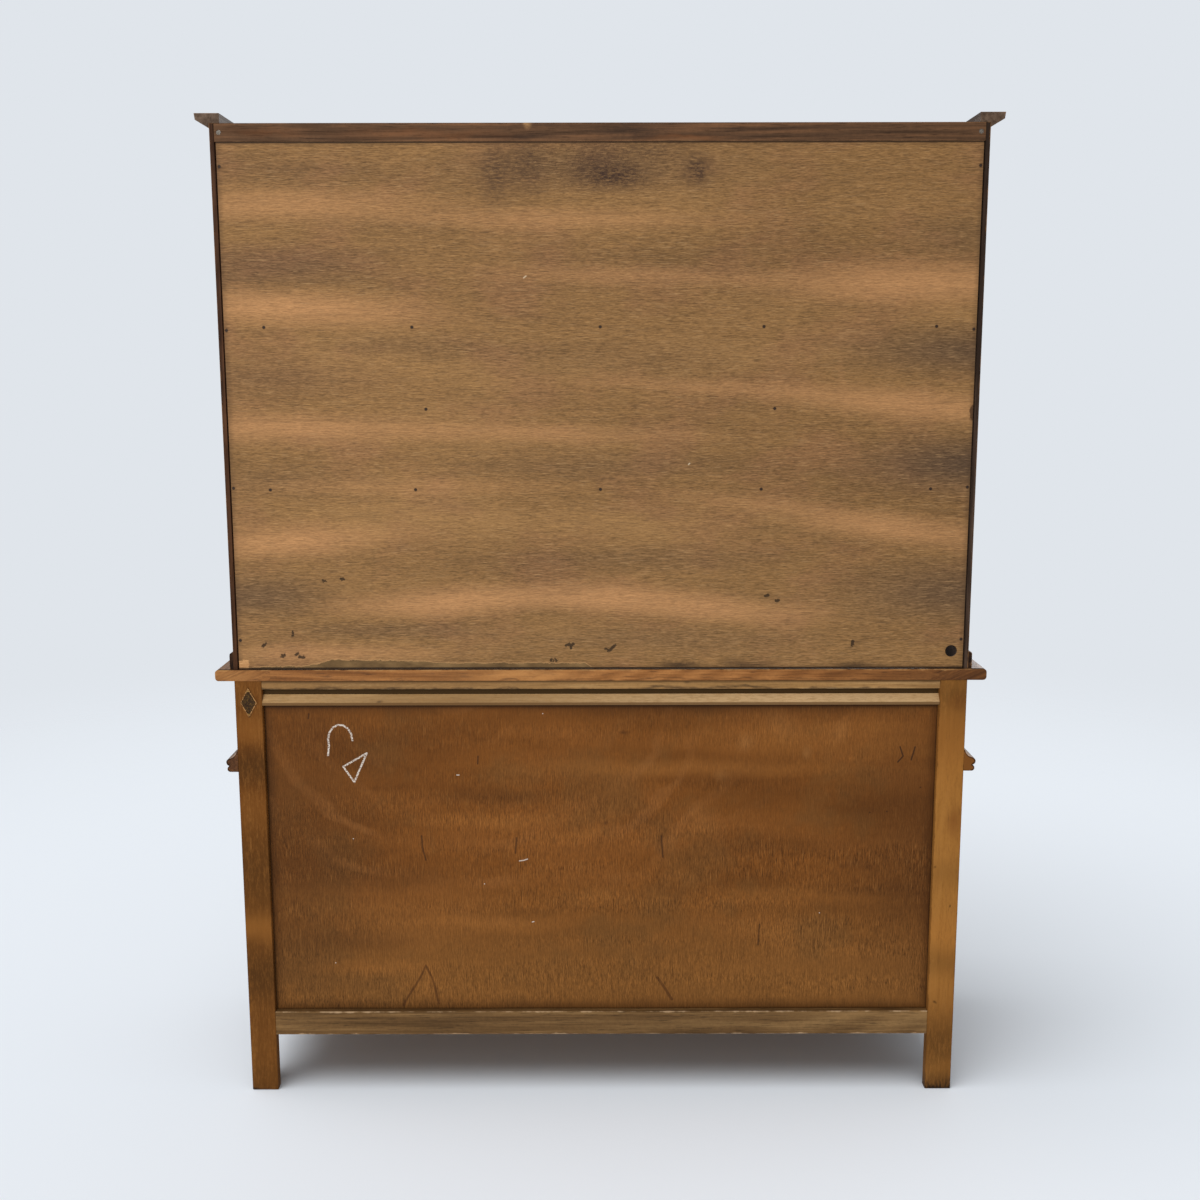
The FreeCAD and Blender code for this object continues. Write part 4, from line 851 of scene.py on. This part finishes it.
# Panel pins driven flush through the plywood, plain steel and rusted almost black, and the two screws in the
# top rail, whose slotted heads were filed level and are worn to bare steel.
rusty_steel, shader, place = blank_finish("rusty_steel_finish")
rust = cloudy(place, 900.0, 3.0, 0.65)
set_on(
    shader, Base_Color=graded(rust, (0.35, tint(30, 25, 23)), (0.60, tint(62, 44, 33))),
    Metallic=ranged(rust, 0.35, 0.60, 0.35, 0.05), Roughness=ranged(rust, 0.35, 0.65, 0.50, 0.78),
    Specular_IOR_Level=0.2, Normal=raised(rust, 0.0002, 0.5))
dress("panel_pins", rusty_steel)
worn_steel, shader, place = blank_finish("worn_steel_finish")
rust = cloudy(place, 700.0, 3.0, 0.65)
set_on(
    shader, Base_Color=graded(
        rust, (0.38, tint(52, 42, 36)), (0.52, tint(110, 102, 92)), (0.66, tint(152, 146, 136))),
    Metallic=0.3, Roughness=0.55, Specular_IOR_Level=0.3, Normal=raised(rust, 0.0002, 0.5))
dress("rail_screws", worn_steel)

# Bare diamond badge pinned to one rear leg: thin pressed brass, gone dark brown all over its field and rubbed
# bright along its raised rim.
badge_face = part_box("badge_plate")[1].y
badge_brass, shader, place = blank_finish("badge_brass_finish")
tarnish = cloudy(place, 380.0, 3.0, 0.65)
rim = ranged(parted(place)[1], badge_face - 0.0005, badge_face - 0.0002)
field = graded(tarnish, (0.40, tint(44, 27, 10)), (0.54, tint(64, 42, 16)), (0.68, tint(104, 78, 34)))
rubbed = graded(tarnish, (0.42, tint(96, 62, 28)), (0.60, tint(176, 128, 76)))
set_on(
    shader, Base_Color=mixed(rim, field, rubbed),
    Metallic=ranged(tarnish, 0.35, 0.65, 0.10, 0.35), Roughness=ranged(tarnish, 0.3, 0.7, 0.66, 0.46),
    Specular_IOR_Level=0.15, Normal=raised(tarnish, 0.0003, 0.4))
dress("badge_plate", badge_brass)

# Knobs, butt hinges and the badge's pins: brass that goes from brown tarnish to bright in soft patches.
old_brass, shader, place = blank_finish("old_brass_finish")
tarnish = cloudy(place, 160.0, 4.0, 0.65)
pitted = cloudy(place, 1100.0)
set_on(
    shader, Base_Color=graded(
        tarnish, (0.34, tint(96, 68, 34)), (0.50, tint(152, 116, 60)), (0.68, tint(196, 158, 90))),
    Metallic=1.0, Roughness=ranged(tarnish, 0.3, 0.7, 0.52, 0.28),
    Normal=raised(pitted, 0.0002, 0.25))
for part in (
        "hinge_leaves", "drawer_left_knob", "drawer_middle_knob", "drawer_right_knob", "door_left_fittings",
        "door_right_fittings", "rack_door_left_fittings", "rack_door_right_fittings", "badge_pins"):
    dress(part, old_brass)

# Three drawers: raised oak fronts in the dark stain, and boxes of bare hardwood whose sides run from front to
# back with a back board across them.
lining_wood = dict(
    dark=tint(146, 112, 72), middle=tint(172, 136, 92), light=tint(194, 160, 114),
    pore=tint(122, 92, 58), at_arris=tint(206, 176, 134), gloss=(0.48, 0.62), shine=0.2)
drawer_bevel = 0.009
drawer_side = 0.0121
for number, name in enumerate(("drawer_left", "drawer_middle", "drawer_right")):
    front = name + "_front"
    oak_finish(front, "X", dark_oak, 61.0 + 2.7 * number, reach=0.003, arris_box=field_of(front, drawer_bevel))
    low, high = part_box(name + "_box")
    back_board = between(0, low.x + drawer_side, high.x - drawer_side)
    oak_finish(name + "_box", "Y", lining_wood, 70.0 + number, turned=("X", back_board))

# Four doors: oak stiles with rails tenoned between them, and a raised panel in grooves. Grain is upright in
# the stiles and panels and level in the rails.
base_stile = 0.055
rack_stile = 0.042
for number, (name, stile) in enumerate((
        ("door_left", base_stile), ("door_right", base_stile), ("rack_door_left", rack_stile),
        ("rack_door_right", rack_stile))):
    low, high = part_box(name + "_frame")
    rails = between(0, low.x + stile, high.x - stile)
    oak_finish(name + "_frame", "Z", dark_oak, 80.0 + 3.1 * number, turned=("X", rails), arris_box=(low, high))
    panel = name + "_panel"
    oak_finish(panel, "Z", dark_oak, 95.0 + 2.3 * number, arris_box=field_of(panel, panel_bevel), reach=0.003)

# Studio: a pale floor that fades into a pale backdrop. The floor has a broad light of its own, which the
# dresser shades; a large soft lamp on the badge's side and one towards the front light only the dresser.
backdrop = tint(224, 229, 235)
mesh = bpy.data.meshes.new("studio_floor")
shape = bmesh.new()
bmesh.ops.create_circle(shape, cap_ends=True, segments=96, radius=6.0)
bmesh.ops.translate(shape, verts=shape.verts, vec=(0.0, 0.0, -0.0005))
shape.to_mesh(mesh)
shape.free()
floor = bpy.data.objects.new("studio_floor", mesh)
bpy.context.scene.collection.objects.link(floor)
pale_floor, shader, place = blank_finish("pale_floor_finish")
set_on(shader, Base_Color=tint(232, 238, 245), Roughness=0.9, Specular_IOR_Level=0.0)
far = measured("LENGTH", place)
clear = put("BsdfTransparent", {}, pale_floor.node_tree)
fade = put("MixShader", {0: ranged(far, 1.6, 4.2), 1: shader.outputs[0], 2: clear.outputs[0]})
feed(pale_floor.node_tree.nodes["Material Output"], {0: fade.outputs[0]})
mesh.materials.append(pale_floor)

world = bpy.data.worlds.new("studio")
world.use_nodes = True
bpy.context.scene.world = world
tree = world.node_tree
tree.nodes.clear()
rays = put("LightPath", {}, tree).outputs
mirrored = sums("MAXIMUM", rays["Is Glossy Ray"], rays["Is Transmission Ray"])
seen = sums("MAXIMUM", rays["Is Camera Ray"], mirrored)
soft_light = put("Background", {"Color": (1.0, 1.0, 1.0, 1.0), "Strength": 0.42}, tree)
shown = put("Background", {"Color": backdrop, "Strength": 1.0}, tree)
both = put("MixShader", {0: seen, 1: soft_light.outputs[0], 2: shown.outputs[0]})
put("OutputWorld", {0: both.outputs[0]})


def hang_lamp(name, kind, place, aim, power, lights_floor, **settings):
    # A lamp that lights either the floor alone or everything but the floor.
    lamp = bpy.data.lights.new(name, kind)
    lamp.energy = power
    for setting, value in settings.items():
        setattr(lamp, setting, value)
    holder = bpy.data.objects.new(name, lamp)
    holder.location = place
    holder.rotation_euler = (Vector(aim) - Vector(place)).to_track_quat("-Z", "Y").to_euler()
    bpy.context.scene.collection.objects.link(holder)
    lit = bpy.data.collections.new(name + "_lights")
    lit.objects.link(floor)
    lit.collection_objects[0].light_linking.link_state = "INCLUDE" if lights_floor else "EXCLUDE"
    holder.light_linking.receiver_collection = lit


hang_lamp(
    "floor_light", "SUN", place=(1.3, 1.1, 4.0), aim=(0.0, 0.0, 0.0), power=2.04, lights_floor=True,
    angle=math.radians(55.0))
hang_lamp(
    "key_lamp", "AREA", place=(1.4, 3.9, 2.1), aim=(0.0, 0.2, 0.75), power=90.0, lights_floor=False,
    shape="DISK", size=2.4)
hang_lamp(
    "front_lamp", "AREA", place=(-1.6, -3.4, 2.9), aim=(0.0, -0.1, 0.9), power=85.0, lights_floor=False,
    shape="DISK", size=3.0)

# Camera: it stands behind the dresser, about level with the middle of the rack, and looks slightly down, so
# that the whole back and the floor at its foot are in view.
camera_distance = 2.436
camera_height = 1.3367
camera_shift = 0.0012
camera_pitch = math.radians(9.505)
camera_roll = math.radians(-0.10)
rack_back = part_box("rack_side_left")[1].y
camera = bpy.data.cameras.new("camera")
camera.lens = 42.0
camera.sensor_width = 36.0
viewer = bpy.data.objects.new("camera", camera)
viewer.matrix_world = (
    Matrix.Translation((camera_shift, rack_back + camera_distance, camera_height))
    @ Matrix.Rotation(math.pi, 4, "Z") @ Matrix.Rotation(math.pi / 2 - camera_pitch, 4, "X")
    @ Matrix.Rotation(camera_roll, 4, "Z"))
bpy.context.scene.collection.objects.link(viewer)
bpy.context.scene.camera = viewer
bpy.context.scene.view_settings.view_transform = "Standard"
